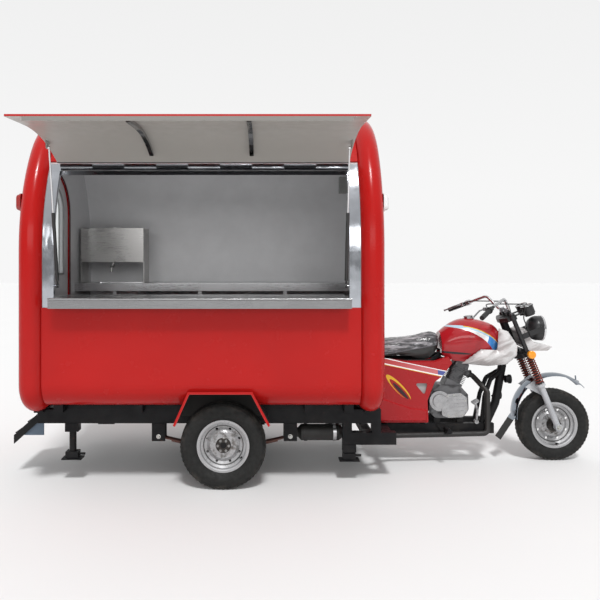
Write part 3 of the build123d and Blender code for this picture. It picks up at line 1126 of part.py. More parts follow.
with BuildPart() as moto_frame:
    head_low = fork(-STEM_BACK, 0, HEAD_LOW)
    head_high = fork(-STEM_BACK, 0, HEAD_HIGH)
    rod(head_low, head_high, HEAD_TUBE)
    rod(fork(-STEM_BACK, 0, BACKBONE_HEAD), BACKBONE_REAR, BACKBONE_RADIUS)
    tube([fork(-STEM_BACK, 0, (HEAD_LOW + HEAD_HIGH) / 2), (2046, 0, 800), DOWN_TUBE_KNEE, (1990, 0, 420),
          (DOWN_TUBE_FOOT_X, 0, MOTO_RAIL_Z)], 50, DOWN_TUBE_RADIUS)
    bar((DOWN_TUBE_FOOT_X - 5, -MOTO_RAIL_Y, MOTO_RAIL_Z), (DOWN_TUBE_FOOT_X - 5, MOTO_RAIL_Y, MOTO_RAIL_Z),
        MOTO_CROSS, MOTO_CROSS)
    for side in (-1, 1):
        rail_y = side * MOTO_RAIL_Y
        bar((MOTO_RAIL_REAR, rail_y, MOTO_RAIL_Z), (MOTO_RAIL_FRONT, rail_y, MOTO_RAIL_Z),
            MOTO_RAIL_WIDTH, MOTO_RAIL_DEPTH)
        tube([(DOWN_TUBE_KNEE[0] - 4, side * 14, DOWN_TUBE_KNEE[2] - 22), (1938, side * 46, 600),
              (1893, side * 52, 480), (1862, side * 80, MOTO_RAIL_TOP - 12)], 40, CRADLE_RADIUS)
        bend_x, bend_y = SEAT_RAIL_BEND
        rod(BACKBONE_REAR, (bend_x, side * bend_y, SEAT_RAIL_Z), SEAT_RAIL_RADIUS)
        rod((bend_x + 5, side * bend_y, SEAT_RAIL_Z), (SEAT_RAIL_REAR, side * SEAT_RAIL_Y, SEAT_RAIL_Z),
            SEAT_RAIL_RADIUS)
        for foot_x, post_head, head_y in zip(POST_FEET, POST_HEADS, (SEAT_RAIL_Y, bend_y)):
            rod((foot_x, rail_y, MOTO_RAIL_Z), (post_head, side * head_y, SEAT_RAIL_Z), SEAT_RAIL_RADIUS + 2)
        rest_end = (FOOTREST_X, side * FOOTREST_OUT, FOOTREST_Z)
        rod((FOOTREST_X, rail_y, FOOTREST_Z), rest_end, FOOTREST_RADIUS)
        rod((FOOTREST_X, side * FOOTREST_GRIP[0], FOOTREST_Z), rest_end, FOOTREST_GRIP[1])
        plate_y, plate = FOOTREST_PLATE
        with BuildSketch(along(side * plate_y + plate / 2)):
            Polygon((FOOTREST_X - 62, FOOTREST_Z + 24), (FOOTREST_X + 62, FOOTREST_Z + 24),
                    (FOOTREST_X, FOOTREST_Z - 68), align=None)
        extrude(amount=plate)
        bar((FOOTREST_X, side * (MOTO_RAIL_Y + 10), FOOTREST_Z + 10),
            (FOOTREST_X, side * (plate_y + 2), FOOTREST_Z + 10), 90, 20)
        for pad_x in ENGINE_PADS:
            with Locations((pad_x, side * ENGINE_PAD_Y, (MOTO_RAIL_TOP + ENGINE_FOOT_Z - SEAT) / 2 - 10)):
                Box(44, 50, ENGINE_FOOT_Z - SEAT - MOTO_RAIL_TOP + 20)
    rod((SEAT_CROSS_X, -SEAT_RAIL_Y, SEAT_RAIL_Z), (SEAT_CROSS_X, SEAT_RAIL_Y, SEAT_RAIL_Z),
        SEAT_RAIL_RADIUS - 3)
    for horn_x, horn_y, horn_z in HORN_PLACES:
        rod((horn_x - 40, 0, horn_z), (horn_x + 24, horn_y, horn_z), 7)
        rod((horn_x, horn_y, horn_z), (horn_x + 32, horn_y, horn_z), HORN_RADIUS - 6)
        rod((horn_x + 26, horn_y, horn_z), (horn_x + 40, horn_y, horn_z), HORN_RADIUS)
        rod((horn_x + 34, horn_y, horn_z), (horn_x + 44, horn_y, horn_z), HORN_RADIUS - 8, mode=Mode.SUBTRACT)
    rod(head_low - FORK_UP, head_high + FORK_UP, STEM_RADIUS + RUN, mode=Mode.SUBTRACT)
save(moto_frame, "moto_frame", MOTO_DATUM)

# Engine: crankcase with its covers, and a finned cylinder leaning forwards
CASE_HALF = 82
CYLINDER_LEAN = 25
CYLINDER_FOOT = Vector(1650, 0, 540)
CYLINDER_UP = Vector(sin(radians(CYLINDER_LEAN)), 0, cos(radians(CYLINDER_LEAN)))
CYLINDER_AHEAD = Vector(cos(radians(CYLINDER_LEAN)), 0, -sin(radians(CYLINDER_LEAN)))
DECK_STEP = 52


def barrel(up):
    """A sketch plane across the leaning cylinder: its x points ahead, its y to the left."""
    return Plane(origin=CYLINDER_FOOT + CYLINDER_UP * up, x_dir=CYLINDER_AHEAD, z_dir=CYLINDER_UP)


GEAR_X = 1640
GEAR_Z = 365
GEAR_SHAFT_END = 142
PEDAL_SHAFT = 9
CLUTCH_CENTRE = (1548, 452)
FLYWHEEL_CENTRE = (1580, 440)
with BuildPart() as crankcase:
    with BuildSketch(along(CASE_HALF)) as case_outline:
        Polygon((1478, 372), (1520, ENGINE_FOOT_Z), (1722, ENGINE_FOOT_Z), (1766, 384), (1762, 496),
                (1706, 556), (1560, 562), (1482, 506), align=None)
        fillet(case_outline.vertices(), radius=24)
    extrude(amount=2 * CASE_HALF)
    bar(CYLINDER_FOOT - CYLINDER_UP * 60, CYLINDER_FOOT + CYLINDER_UP * DECK_STEP, 118, 122)
    with BuildSketch(along(-CASE_HALF)) as clutch_outline:
        Polygon((1560, 345), (1610, 328), (1716, 332), (1756, 386), (1748, 480), (1700, 516), (1600, 506),
                (1556, 440), align=None)
        fillet(clutch_outline.vertices(), radius=26)
    extrude(amount=26, taper=8)
    with BuildSketch(along(-CASE_HALF)):
        with Locations(CLUTCH_CENTRE):
            Circle(76)
    extrude(amount=22, taper=6)
    with BuildSketch(along(-CASE_HALF - 20)):
        with Locations(CLUTCH_CENTRE):
            Circle(52)
    extrude(amount=14, taper=10)
    for rib in range(5):
        rib_z = 372 + rib * 27
        bar((1600, -CASE_HALF - 22, rib_z), (1726, -CASE_HALF - 22, rib_z + 8), 18, 9)
    with BuildSketch(along(CASE_HALF)):
        with Locations(FLYWHEEL_CENTRE):
            Circle(98)
    extrude(amount=-28, taper=6)
    with BuildSketch(along(CASE_HALF + 26)):
        with Locations(FLYWHEEL_CENTRE):
            Circle(58)
    extrude(amount=-10, taper=12)
    rod((GEAR_X, CASE_HALF, GEAR_Z), (GEAR_X, GEAR_SHAFT_END, GEAR_Z), PEDAL_SHAFT)
    yoke_x, yoke_z = SHAFT_FRONT[0], SHAFT_FRONT[2]
    rod((1490, 0, yoke_z), (yoke_x + YOKE_GAP, 0, yoke_z), 34)
    for side in (-1, 1):
        cheek = side * (CROSS_HALF - 6)
        bar((yoke_x + YOKE_GAP + 6, cheek, yoke_z), (yoke_x - 18, cheek, yoke_z), 12, 38)
    rod((yoke_x, -CROSS_HALF - 6, yoke_z), (yoke_x, CROSS_HALF + 6, yoke_z), CROSS_PIN + RUN,
        mode=Mode.SUBTRACT)
save(crankcase, "crankcase", MOTO_DATUM)

FIN = 4
FIN_PITCH = 12
FIN_COUNT = 5
HEAD_START = DECK_STEP + SEAT + FIN_COUNT * FIN_PITCH + 8
PORT_UP = HEAD_START + 24
PORT_REACH = 86
with BuildPart() as cylinder:
    with BuildSketch(barrel(DECK_STEP + SEAT)):
        RectangleRounded(104, 96, 30)
    extrude(amount=HEAD_START + 60)
    for fin in range(FIN_COUNT):
        with BuildSketch(barrel(DECK_STEP + 8 + fin * FIN_PITCH)):
            RectangleRounded(136, 138, 26)
        extrude(amount=FIN)
    for fin in range(4):
        with BuildSketch(barrel(HEAD_START + fin * FIN_PITCH)):
            RectangleRounded(148, 144, 22)
        extrude(amount=FIN + 1)
    with BuildSketch(barrel(HEAD_START + 46)):
        RectangleRounded(118, 108, 20)
    extrude(amount=36, taper=8)
    for corner in GridLocations(84, 80, 2, 2):
        with BuildSketch(barrel(HEAD_START + 60)):
            with Locations(corner):
                RegularPolygon(8, 6)
        extrude(amount=27)
    port = CYLINDER_FOOT + CYLINDER_UP * PORT_UP
    rod(port, port - CYLINDER_AHEAD * 150, 21)
    carburettor = port - CYLINDER_AHEAD * 122
    rod(carburettor - Vector(0, 0, 58), carburettor + Vector(0, 0, 34), 27)
    rod(carburettor - Vector(0, 44, 0), carburettor + Vector(0, 36, 0), 16)
    rod(port, port + CYLINDER_AHEAD * PORT_REACH, 25)
save(cylinder, "cylinder", MOTO_DATUM)

# Exhaust: pipe from the head, down in front of the engine and back to the muffler under the kiosk
PIPE_RADIUS = 19
MUFFLER_RADIUS = 55
MUFFLER_Y = 110 - RAIL_Y
MUFFLER_Z = 295
MUFFLER_REAR = 499
MUFFLER_FRONT = 797
HANGER_UP = 92
PIPE_Z = 222
PIPE_Y = -152
PORT_FACE = CYLINDER_FOOT + CYLINDER_UP * PORT_UP + CYLINDER_AHEAD * (PORT_REACH + SEAT)
with BuildPart() as exhaust:
    tube([PORT_FACE, PORT_FACE + CYLINDER_AHEAD * 34, (1898, -100, 520), (1880, PIPE_Y, PIPE_Z + 8),
          (1600, PIPE_Y, PIPE_Z), (1180, PIPE_Y - 30, PIPE_Z), (930, MUFFLER_Y, PIPE_Z),
          (850, MUFFLER_Y, MUFFLER_Z - 6), (MUFFLER_FRONT, MUFFLER_Y, MUFFLER_Z)], 34, PIPE_RADIUS)
    rod(PORT_FACE, PORT_FACE + CYLINDER_AHEAD * 10, PIPE_RADIUS + 12)
    with BuildSketch(along(MUFFLER_Y, 0, MUFFLER_Z)):
        Polygon((MUFFLER_FRONT + 26, 0), (MUFFLER_FRONT + 26, PIPE_RADIUS + 4),
                (MUFFLER_FRONT - 20, MUFFLER_RADIUS), (MUFFLER_REAR + 20, MUFFLER_RADIUS),
                (MUFFLER_REAR, MUFFLER_RADIUS - 22), (MUFFLER_REAR - 70, MUFFLER_RADIUS - 34),
                (MUFFLER_REAR - 70, 15), (MUFFLER_REAR - 30, 15), (MUFFLER_REAR - 30, 0), align=None)
    revolve(axis=Axis((0, MUFFLER_Y, MUFFLER_Z), (1, 0, 0)))
    for band_x in (MUFFLER_REAR + 40, MUFFLER_FRONT - 60):
        rod((band_x, MUFFLER_Y, MUFFLER_Z), (band_x + 22, MUFFLER_Y, MUFFLER_Z), MUFFLER_RADIUS + 4)
    for hanger_x in (MUFFLER_REAR + 51, MUFFLER_FRONT - 49):
        hanger_head = MUFFLER_Z + HANGER_UP
        bar((hanger_x, MUFFLER_Y, MUFFLER_Z + MUFFLER_RADIUS - 4), (hanger_x, MUFFLER_Y, hanger_head), 20, 6)
        bar((hanger_x, MUFFLER_Y, hanger_head), (hanger_x, 2 + RAIL_WIDTH / 2 - RAIL_Y, hanger_head + 20),
            20, 8)
save(exhaust, "exhaust", MOTO_DATUM)


def crowned(x, low, shoulder, high, low_half, half, belly):
    """A crowned section across the vehicle: flat base, bulging sides and an arched top."""
    middle = (low + shoulder) / 2
    with BuildSketch(across(x)) as shape:
        with BuildLine() as outline:
            Line((-low_half, low), (low_half, low))
            for side in (-1, 1):
                ThreePointArc((side * low_half, low), (side * ((low_half + half) / 2 + belly), middle),
                              (side * half, shoulder))
            ThreePointArc((half, shoulder), (0, high), (-half, shoulder))
        make_face(outline.edges())
    return shape.sketch


# Seat: a padded saddle, dipped for the rider, with drawn-in sides
with BuildPart() as seat:
    loft([crowned(x=1062, low=800, shoulder=872, high=898, low_half=116, half=126, belly=6),
          crowned(x=1200, low=790, shoulder=866, high=894, low_half=118, half=132, belly=8),
          crowned(x=1350, low=770, shoulder=872, high=908, low_half=104, half=122, belly=10),
          crowned(x=1465, low=762, shoulder=892, high=938, low_half=84, half=100, belly=10),
          crowned(x=1530, low=806, shoulder=906, high=944, low_half=62, half=74, belly=8),
          crowned(x=1556, low=850, shoulder=896, high=914, low_half=36, half=44, belly=4)])
save(seat, "seat", MOTO_DATUM)

# Fuel tank: loft with a tunnel for the backbone, and its cap
TUNNEL_HALF = 48
TUNNEL_DROP = 60
TUNNEL_PLAY = 8
CAP_X = 1790
CAP_FOOT = 1036
CAP_RADIUS = 40
with BuildPart() as fuel_tank:
    loft([crowned(x=1566, low=800, shoulder=868, high=950, low_half=84, half=96, belly=4),
          crowned(x=1640, low=752, shoulder=880, high=1008, low_half=106, half=126, belly=8),
          crowned(x=1740, low=742, shoulder=894, high=1046, low_half=118, half=146, belly=10),
          crowned(x=1850, low=746, shoulder=898, high=1040, low_half=116, half=148, belly=10),
          crowned(x=1940, low=790, shoulder=900, high=1014, low_half=92, half=118, belly=8),
          crowned(x=1992, low=850, shoulder=905, high=978, low_half=58, half=78, belly=4)])
    drop = Vector(0, 0, TUNNEL_DROP)
    bar(fork(-STEM_BACK, 0, BACKBONE_HEAD) - drop, Vector(*BACKBONE_REAR) - drop - Vector(60, 0, 16),
        2 * TUNNEL_HALF, 2 * (TUNNEL_DROP + BACKBONE_RADIUS + TUNNEL_PLAY), mode=Mode.SUBTRACT)
    rod((CAP_X, 0, CAP_FOOT), (CAP_X - 2, 0, CAP_FOOT + 16), CAP_RADIUS)
    rod((CAP_X, 0, CAP_FOOT + 14), (CAP_X - 3, 0, CAP_FOOT + 30), CAP_RADIUS - 7)
save(fuel_tank, "fuel_tank", MOTO_DATUM)

# Tank shroud: a side scoop either side of the tank, ending ahead of the head tube
SHROUD_OUTLINE = ((1960, 990), (2030, 966), (2098, 862), (2092, 790), (2020, 728), (1880, 716), (1690, 734),
                  (1830, 838), (1950, 832))
SHROUD_INNER_Y = 152
SHROUD_DEPTH = 26
SHROUD_WALL = 5
SHROUD_TAPER = 22
with BuildPart() as tank_shroud:
    for side in (-1, 1):
        with BuildSketch(along(side * SHROUD_INNER_Y)) as scoop:
            Polygon(*SHROUD_OUTLINE, align=None)
            fillet(scoop.vertices(), radius=14)
        extrude(amount=-side * SHROUD_DEPTH, taper=SHROUD_TAPER)
        with BuildSketch(along(side * SHROUD_INNER_Y)):
            add(scoop.sketch_local)
            offset(amount=-SHROUD_WALL, mode=Mode.REPLACE)
        extrude(amount=-side * (SHROUD_DEPTH - SHROUD_WALL), taper=SHROUD_TAPER, mode=Mode.SUBTRACT)
save(tank_shroud, "tank_shroud", MOTO_DATUM)

# Side covers: shells with a triangular vent and a lower valance
COVER_OUTLINE = ((1052, 302), (1459, 302), (1452, 467), (1503, 597), (1560, 640), (1632, 738), (1600, 786),
                 (1500, 752), (1290, 752), (1052, 782))
COVER_VENT = ((1352, 592), (1446, 592), (1424, 506))
VALANCE = ((1052, 302), (1459, 302), (1454, 420), (1330, 430), (1150, 490), (1052, 560))
COVER_INNER_Y = 132
COVER_DEPTH = 24
COVER_WALL = 4
COVER_TAPER = 16
with BuildPart() as side_covers:
    for side in (-1, 1):
        with BuildSketch(along(side * COVER_INNER_Y)) as cover:
            Polygon(*COVER_OUTLINE, align=None)
            fillet(cover.vertices(), radius=16)
        extrude(amount=-side * COVER_DEPTH, taper=COVER_TAPER)
        with BuildSketch(along(side * (COVER_INNER_Y + COVER_DEPTH - COVER_WALL))):
            Polygon(*VALANCE, align=None)
            offset(amount=-14, mode=Mode.REPLACE)
        extrude(amount=-side * 14, taper=35)
        with BuildSketch(along(side * COVER_INNER_Y)):
            add(cover.sketch_local)
            offset(amount=-COVER_WALL, mode=Mode.REPLACE)
        extrude(amount=-side * (COVER_DEPTH - COVER_WALL), taper=COVER_TAPER, mode=Mode.SUBTRACT)
        with BuildSketch(along(side * COVER_INNER_Y)) as vent:
            Polygon(*COVER_VENT, align=None)
            fillet(vent.vertices(), radius=10)
        extrude(amount=-side * 2 * COVER_DEPTH, mode=Mode.SUBTRACT)
save(side_covers, "side_covers", MOTO_DATUM)

# Foot controls: brake pedal and gear lever, each turning on its own shaft
PEDAL_BOSS = 15
BRAKE_X = 1806
BRAKE_Z = 310
PEDAL_ARM = 9
PEDAL_PAD = (74, 48)
PEDAL_LEAN = (-0.5, 0, 0.87)
TOE_REACH = 148
HEEL_REACH = 128
TOE_RADIUS = 12
GEAR_ARM = 7
with BuildPart() as brake_pedal:
    rod((BRAKE_X, -MOTO_RAIL_Y - MOTO_RAIL_WIDTH / 2 - SEAT, BRAKE_Z), (BRAKE_X, -142, BRAKE_Z), PEDAL_BOSS)
    tube([(BRAKE_X, -132, BRAKE_Z), (BRAKE_X + 6, -134, BRAKE_Z + 80), (BRAKE_X - 14, -140, BRAKE_Z + 150)],
         30, PEDAL_ARM)
    pad_spot = (BRAKE_X - 16, -146, BRAKE_Z + 152)
    with BuildSketch(Plane(origin=pad_spot, x_dir=(0, 1, 0), z_dir=PEDAL_LEAN).offset(-PEDAL_ARM)):
        RectangleRounded(*PEDAL_PAD, PEDAL_PAD[1] / 4)
    extrude(amount=PEDAL_ARM)
save(brake_pedal, "brake_pedal", MOTO_DATUM)

with BuildPart() as gear_lever:
    rod((GEAR_X, 116, GEAR_Z), (GEAR_X, 140, GEAR_Z), PEDAL_BOSS)
    for reach, mid, rise, dip in ((TOE_REACH, 90, -24, -24), (-HEEL_REACH, -80, 4, -8)):
        tube([(GEAR_X, 130, GEAR_Z), (GEAR_X + mid, 136, GEAR_Z + dip), (GEAR_X + reach, 150, GEAR_Z + rise)],
             30, GEAR_ARM)
        rod((GEAR_X + reach, 140, GEAR_Z + rise), (GEAR_X + reach, 196, GEAR_Z + rise), TOE_RADIUS)
    rod((GEAR_X, 100, GEAR_Z), (GEAR_X, GEAR_SHAFT_END + 1, GEAR_Z), PEDAL_SHAFT + RUN, mode=Mode.SUBTRACT)
save(gear_lever, "gear_lever", MOTO_DATUM)

# Fork: clamps, stem and tubes in one; sliders with the axle; springs between them
TUBE_RADIUS = 16
SLIDER_RADIUS = 22
TUBE_LOW = 150
TUBE_HIGH = 880
LOWER_CLAMP = 560
UPPER_CLAMP = 846
CLAMP_THICKNESS = 32
SLIDER_TOP = 331
SLIDER_BORE = 60
COLLAR_TOP = 342
COLLAR_RADIUS = 33
BAR_RADIUS = 11
BAR_UP = 913
BAR_AHEAD = -4
LAMP_AHEAD = 155
LAMP_UP = 707
LAMP_RADIUS = 95
EAR_Y = 103
DIAL_AHEAD = 142
DIAL_Y = 50
DIAL_RADIUS = 42
DIAL_LOW = 822
DIAL_HIGH = 897
with BuildPart() as fork_tubes:
    for level in (LOWER_CLAMP, UPPER_CLAMP):
        with BuildSketch(fork_plane(0, level)):
            Polygon((26, FORK_Y), (22, 0), (26, -FORK_Y), (-STEM_BACK, -FORK_Y - 10), (-STEM_BACK - 34, -30),
                    (-STEM_BACK - 34, 30), (-STEM_BACK, FORK_Y + 10), align=None)
            with Locations((0, FORK_Y), (0, -FORK_Y)):
                Circle(26)
        extrude(amount=CLAMP_THICKNESS)
    rod(fork(-STEM_BACK, 0, LOWER_CLAMP), fork(-STEM_BACK, 0, TUBE_HIGH), STEM_RADIUS)
    for side in (-1, 1):
        y = side * FORK_Y
        rod(fork(0, y, TUBE_LOW), fork(0, y, TUBE_HIGH), TUBE_RADIUS)
        rod(fork(0, y, TUBE_HIGH - 2), fork(0, y, TUBE_HIGH + 10), TUBE_RADIUS + 3)
        bar(fork(BAR_AHEAD, side * 42, UPPER_CLAMP + CLAMP_THICKNESS - 1),
            fork(BAR_AHEAD, side * 42, BAR_UP - BAR_RADIUS - SEAT), 30, 26)
        bar(fork(TUBE_RADIUS - 4, side * EAR_Y, LAMP_UP), fork(LAMP_AHEAD + 18, side * EAR_Y, LAMP_UP), 5, 38)
        bar(fork(20, side * DIAL_Y, UPPER_CLAMP + 14),
            fork(DIAL_AHEAD - DIAL_RADIUS - SEAT, side * DIAL_Y, UPPER_CLAMP + 14), 24, 8)
save(fork_tubes, "fork_tubes", MOTO_DATUM)

FRONT_AXLE_RADIUS = 9
FRONT_HUB = 62
PLATE_Y = 64
PLATE = 4
GUARD_RADIUS = 303
GUARD_UP = 78
GUARD_AHEAD = 5
GUARD_HALF = 64
GUARD_SHEET = 3
GUARD_CENTRE = FRONT_AXLE + Vector(GUARD_AHEAD, 0, GUARD_UP)
GUARD_FIRST = 43.5
GUARD_LAST = 187


def on_guard(angle, radius=GUARD_RADIUS):
    """A (x, z) point of the mudguard's arc seen from the side."""
    return (GUARD_CENTRE.X + radius * cos(radians(angle)), GUARD_CENTRE.Z + radius * sin(radians(angle)))


with BuildPart() as fork_sliders:
    for side in (-1, 1):
        y = side * FORK_Y
        rod(fork(0, y, -28), fork(0, y, SLIDER_TOP), SLIDER_RADIUS)
        rod(fork(0, y, SLIDER_TOP - 8), fork(0, y, COLLAR_TOP), COLLAR_RADIUS)
        rod(fork(0, side * 78, 0), fork(0, side * 124, 0), 25)
        with BuildSketch(along(side * (PLATE_Y + SEAT))):
            foot_low = fork(0, 0, 236)
            foot_high = fork(0, 0, 318)
            Polygon((foot_low.X, foot_low.Z), (foot_high.X + 14, foot_high.Z + 6),
                    on_guard(116, GUARD_RADIUS + 6), on_guard(138, GUARD_RADIUS + 6), align=None)
        extrude(amount=-side * PLATE)
        for level in (262, 304):
            rod(fork(0, side * (PLATE_Y + SEAT + 1), level), fork(0, side * (FORK_Y - 8), level), 9)
    rod(fork(0, -118, 0), fork(0, 118, 0), FRONT_AXLE_RADIUS)
    for side in (-1, 1):
        y = side * FORK_Y
        rod(fork(0, y, SLIDER_BORE), fork(0, y, COLLAR_TOP + 1), TUBE_RADIUS + RUN, mode=Mode.SUBTRACT)
save(fork_sliders, "fork_sliders", MOTO_DATUM)

WIRE = 4.5
COIL_RADIUS = 26.5
COILS = 11
COIL_TAIL = 1.1         # how far the straight end of the wire dips
COIL_LOW = COLLAR_TOP + WIRE + SEAT + COIL_TAIL
COIL_HIGH = LOWER_CLAMP - WIRE - SEAT - COIL_TAIL
COIL_RISE = (COIL_HIGH - COIL_LOW) / COILS


def coil_point(y, half_turns):
    """A point of a coil spring about a fork leg, after a number of half turns."""
    sign = 1 if half_turns % 2 == 0 else -1
    return fork(sign * COIL_RADIUS, y, COIL_LOW + half_turns * COIL_RISE / 2)


def coil_heading(half_turns):
    """The direction of the wire there."""
    sign = 1 if half_turns % 2 == 0 else -1
    return (Vector(0, sign * radians(180) * COIL_RADIUS, 0) + FORK_UP * (COIL_RISE / 2)).normalized()


def coil_half(y, half_turns):
    """Half a turn of the wire, as two arcs that meet smoothly."""
    start, end = coil_point(y, half_turns), coil_point(y, half_turns + 1)
    first, last = coil_heading(half_turns), coil_heading(half_turns + 1)
    chord = end - start
    both = first + last
    spread = 2 * (1 - first.dot(last))
    along_both = chord.dot(both)
    reach = (-along_both + (along_both ** 2 + spread * chord.dot(chord)) ** 0.5) / spread
    near, far = start + first * reach, end - last * reach
    middle = (near + far) * 0.5
    TangentArc(start, middle, tangent=first)
    TangentArc(middle, end, tangent=far - near)


with BuildPart() as fork_springs:
    for side in (-1, 1):
        y = side * FORK_Y
        with BuildLine() as wire_line:
            Line(coil_point(y, 0) - coil_heading(0) * 2 * WIRE, coil_point(y, 0))
            for half_turns in range(2 * COILS):
                coil_half(y, half_turns)
            end_heading = coil_heading(2 * COILS)
            Line(coil_point(y, 2 * COILS), coil_point(y, 2 * COILS) + end_heading * 2 * WIRE)
        wire_start = coil_point(y, 0) - coil_heading(0) * 2 * WIRE
        with BuildSketch(Plane(origin=wire_start, z_dir=coil_heading(0))) as wire_end:
            Circle(WIRE)
        sweep(wire_end.sketch, path=wire_line.wire())
print("least gap between the turns of the fork springs", round(COIL_RISE - 2 * WIRE, 2), "mm")
save(fork_springs, "fork_springs", MOTO_DATUM)

# Front mudguard: a crowned strip turned about its own centre, with an ornament and a rubber flap
GUARD_CROWN = 14
FLAP_FOOT = (2010, 156)
with BuildPart() as front_mudguard:
    first_out = Vector(cos(radians(GUARD_FIRST)), 0, sin(radians(GUARD_FIRST)))
    edge = GUARD_RADIUS - GUARD_CROWN
    with BuildSketch(Plane(origin=GUARD_CENTRE, x_dir=(0, 1, 0), z_dir=Vector(0, 1, 0).cross(first_out))):
        with BuildLine() as crescent:
            for sheet in (0, GUARD_SHEET):
                ThreePointArc((-GUARD_HALF, edge - sheet), (0, GUARD_RADIUS - sheet),
                              (GUARD_HALF, edge - sheet))
            for side in (-1, 1):
                Line((side * GUARD_HALF, edge - GUARD_SHEET), (side * GUARD_HALF, edge))
        make_face(crescent.edges())
    revolve(axis=Axis(GUARD_CENTRE, (0, -1, 0)), revolution_arc=GUARD_LAST - GUARD_FIRST)
    crest = on_guard(GUARD_FIRST + 11)
    rod((crest[0], 0, crest[1] - 4), (crest[0] - 4, 0, crest[1] + 34), 5)
    rod((crest[0] - 22, 0, crest[1] + 6), (crest[0] + 20, 0, crest[1] - 12), 6)
    flap_top = on_guard(GUARD_LAST - 9, GUARD_RADIUS - 24)
    bar((flap_top[0], 0, flap_top[1]), (FLAP_FOOT[0], 0, FLAP_FOOT[1]), 2 * GUARD_HALF - 26, 5)
save(front_mudguard, "front_mudguard", MOTO_DATUM)

# Handlebar with its left grip and lever perches; throttle sleeve; brake and clutch levers
BAR_MIDDLE = fork(BAR_AHEAD, 0, BAR_UP)
BAR_CORNERS = ((BAR_MIDDLE.X, 95, BAR_MIDDLE.Z), (1990, 185, 1205), (1880, 262, 1150), (1764, 382, 1085))
GRIP_RADIUS = 17
GRIP_LENGTH = 120
PERCH_BACK = 142
LEVER_AHEAD = 46
LEVER_PIN = 4
LEVER_HALF = 7


def grip_lines(side):
    """The bar's end on one side, with its directions outwards, upwards and ahead."""
    end = Vector(BAR_CORNERS[3][0], side * BAR_CORNERS[3][1], BAR_CORNERS[3][2])
    bend = Vector(BAR_CORNERS[2][0], side * BAR_CORNERS[2][1], BAR_CORNERS[2][2])
    outwards = (end - bend).normalized()
    upwards = (Vector(0, 0, 1) - outwards * outwards.Z).normalized()
    return end, outwards, upwards, outwards.cross(upwards) * (-side)


def lever(side):
    """A cranked lever with its eye and a ball at the tip."""
    end, outwards, upwards, ahead = grip_lines(side)
    pivot = end - outwards * PERCH_BACK + ahead * LEVER_AHEAD
    rod(pivot - upwards * LEVER_HALF, pivot + upwards * LEVER_HALF, 10)
    tip = pivot + outwards * 152 + ahead * 18
    tube([pivot, pivot + outwards * 36 + ahead * 22, tip], 24, 5.5)
    with Locations(tip):
        Sphere(8)
    rod(pivot - upwards * 20, pivot + upwards * 20, LEVER_PIN + RUN, mode=Mode.SUBTRACT)


with BuildPart() as handlebar:
    right_half = [(x, -y, z) for x, y, z in reversed(BAR_CORNERS)]
    tube(right_half + list(BAR_CORNERS), 40, BAR_RADIUS)
    for side in (-1, 1):
        end, outwards, upwards, ahead = grip_lines(side)
        perch = end - outwards * PERCH_BACK
        rod(perch - outwards * 12, perch + outwards * 12, GRIP_RADIUS)
        for lift in (-1, 1):
            shelf = upwards * (lift * (LEVER_HALF + SEAT + 2))
            bar(perch + shelf, perch + ahead * (LEVER_AHEAD + 9) + shelf, 20, 4, sideways=outwards)
        pivot = perch + ahead * LEVER_AHEAD
        rod(pivot - upwards * (LEVER_HALF + 4), pivot + upwards * (LEVER_HALF + 4), LEVER_PIN)
    end, outwards, upwards, ahead = grip_lines(1)
    rod(end - outwards * GRIP_LENGTH, end + outwards * 8, GRIP_RADIUS)
    switch_pod = end - outwards * (PERCH_BACK + 30)
    rod(switch_pod - outwards * 14, switch_pod + outwards * 14, GRIP_RADIUS + 5)
save(handlebar, "handlebar", MOTO_DATUM)

with BuildPart() as throttle_grip:
    end, outwards, upwards, ahead = grip_lines(-1)
    rod(end - outwards * GRIP_LENGTH, end + outwards * 8, GRIP_RADIUS)
    rod(end - outwards * GRIP_LENGTH, end - outwards * (GRIP_LENGTH - 8), GRIP_RADIUS + 6)
    rod(end - outwards * (GRIP_LENGTH + 1), end + outwards * SEAT, BAR_RADIUS + RUN, mode=Mode.SUBTRACT)
save(throttle_grip, "throttle_grip", MOTO_DATUM)

with BuildPart() as brake_lever:
    lever(-1)
save(brake_lever, "brake_lever", MOTO_DATUM)

with BuildPart() as clutch_lever:
    lever(1)
save(clutch_lever, "clutch_lever", MOTO_DATUM)

# Control cables from the perches to the lamp brackets
CABLE = 4
EAR = 5
CABLE_Y = EAR_Y + EAR / 2 + CABLE + SEAT
with BuildPart() as control_cables:
    for side in (-1, 1):
        end, outwards, upwards, ahead = grip_lines(side)
        start = end - outwards * (PERCH_BACK + 13) + ahead * (GRIP_RADIUS + CABLE + 9)
        tube([start, start - outwards * 70 + ahead * 46, fork(96, side * (CABLE_Y + 56), 936),
              fork(66, side * CABLE_Y, 830), fork(66, side * CABLE_Y, 690)], 44, CABLE)
save(control_cables, "control_cables", MOTO_DATUM)

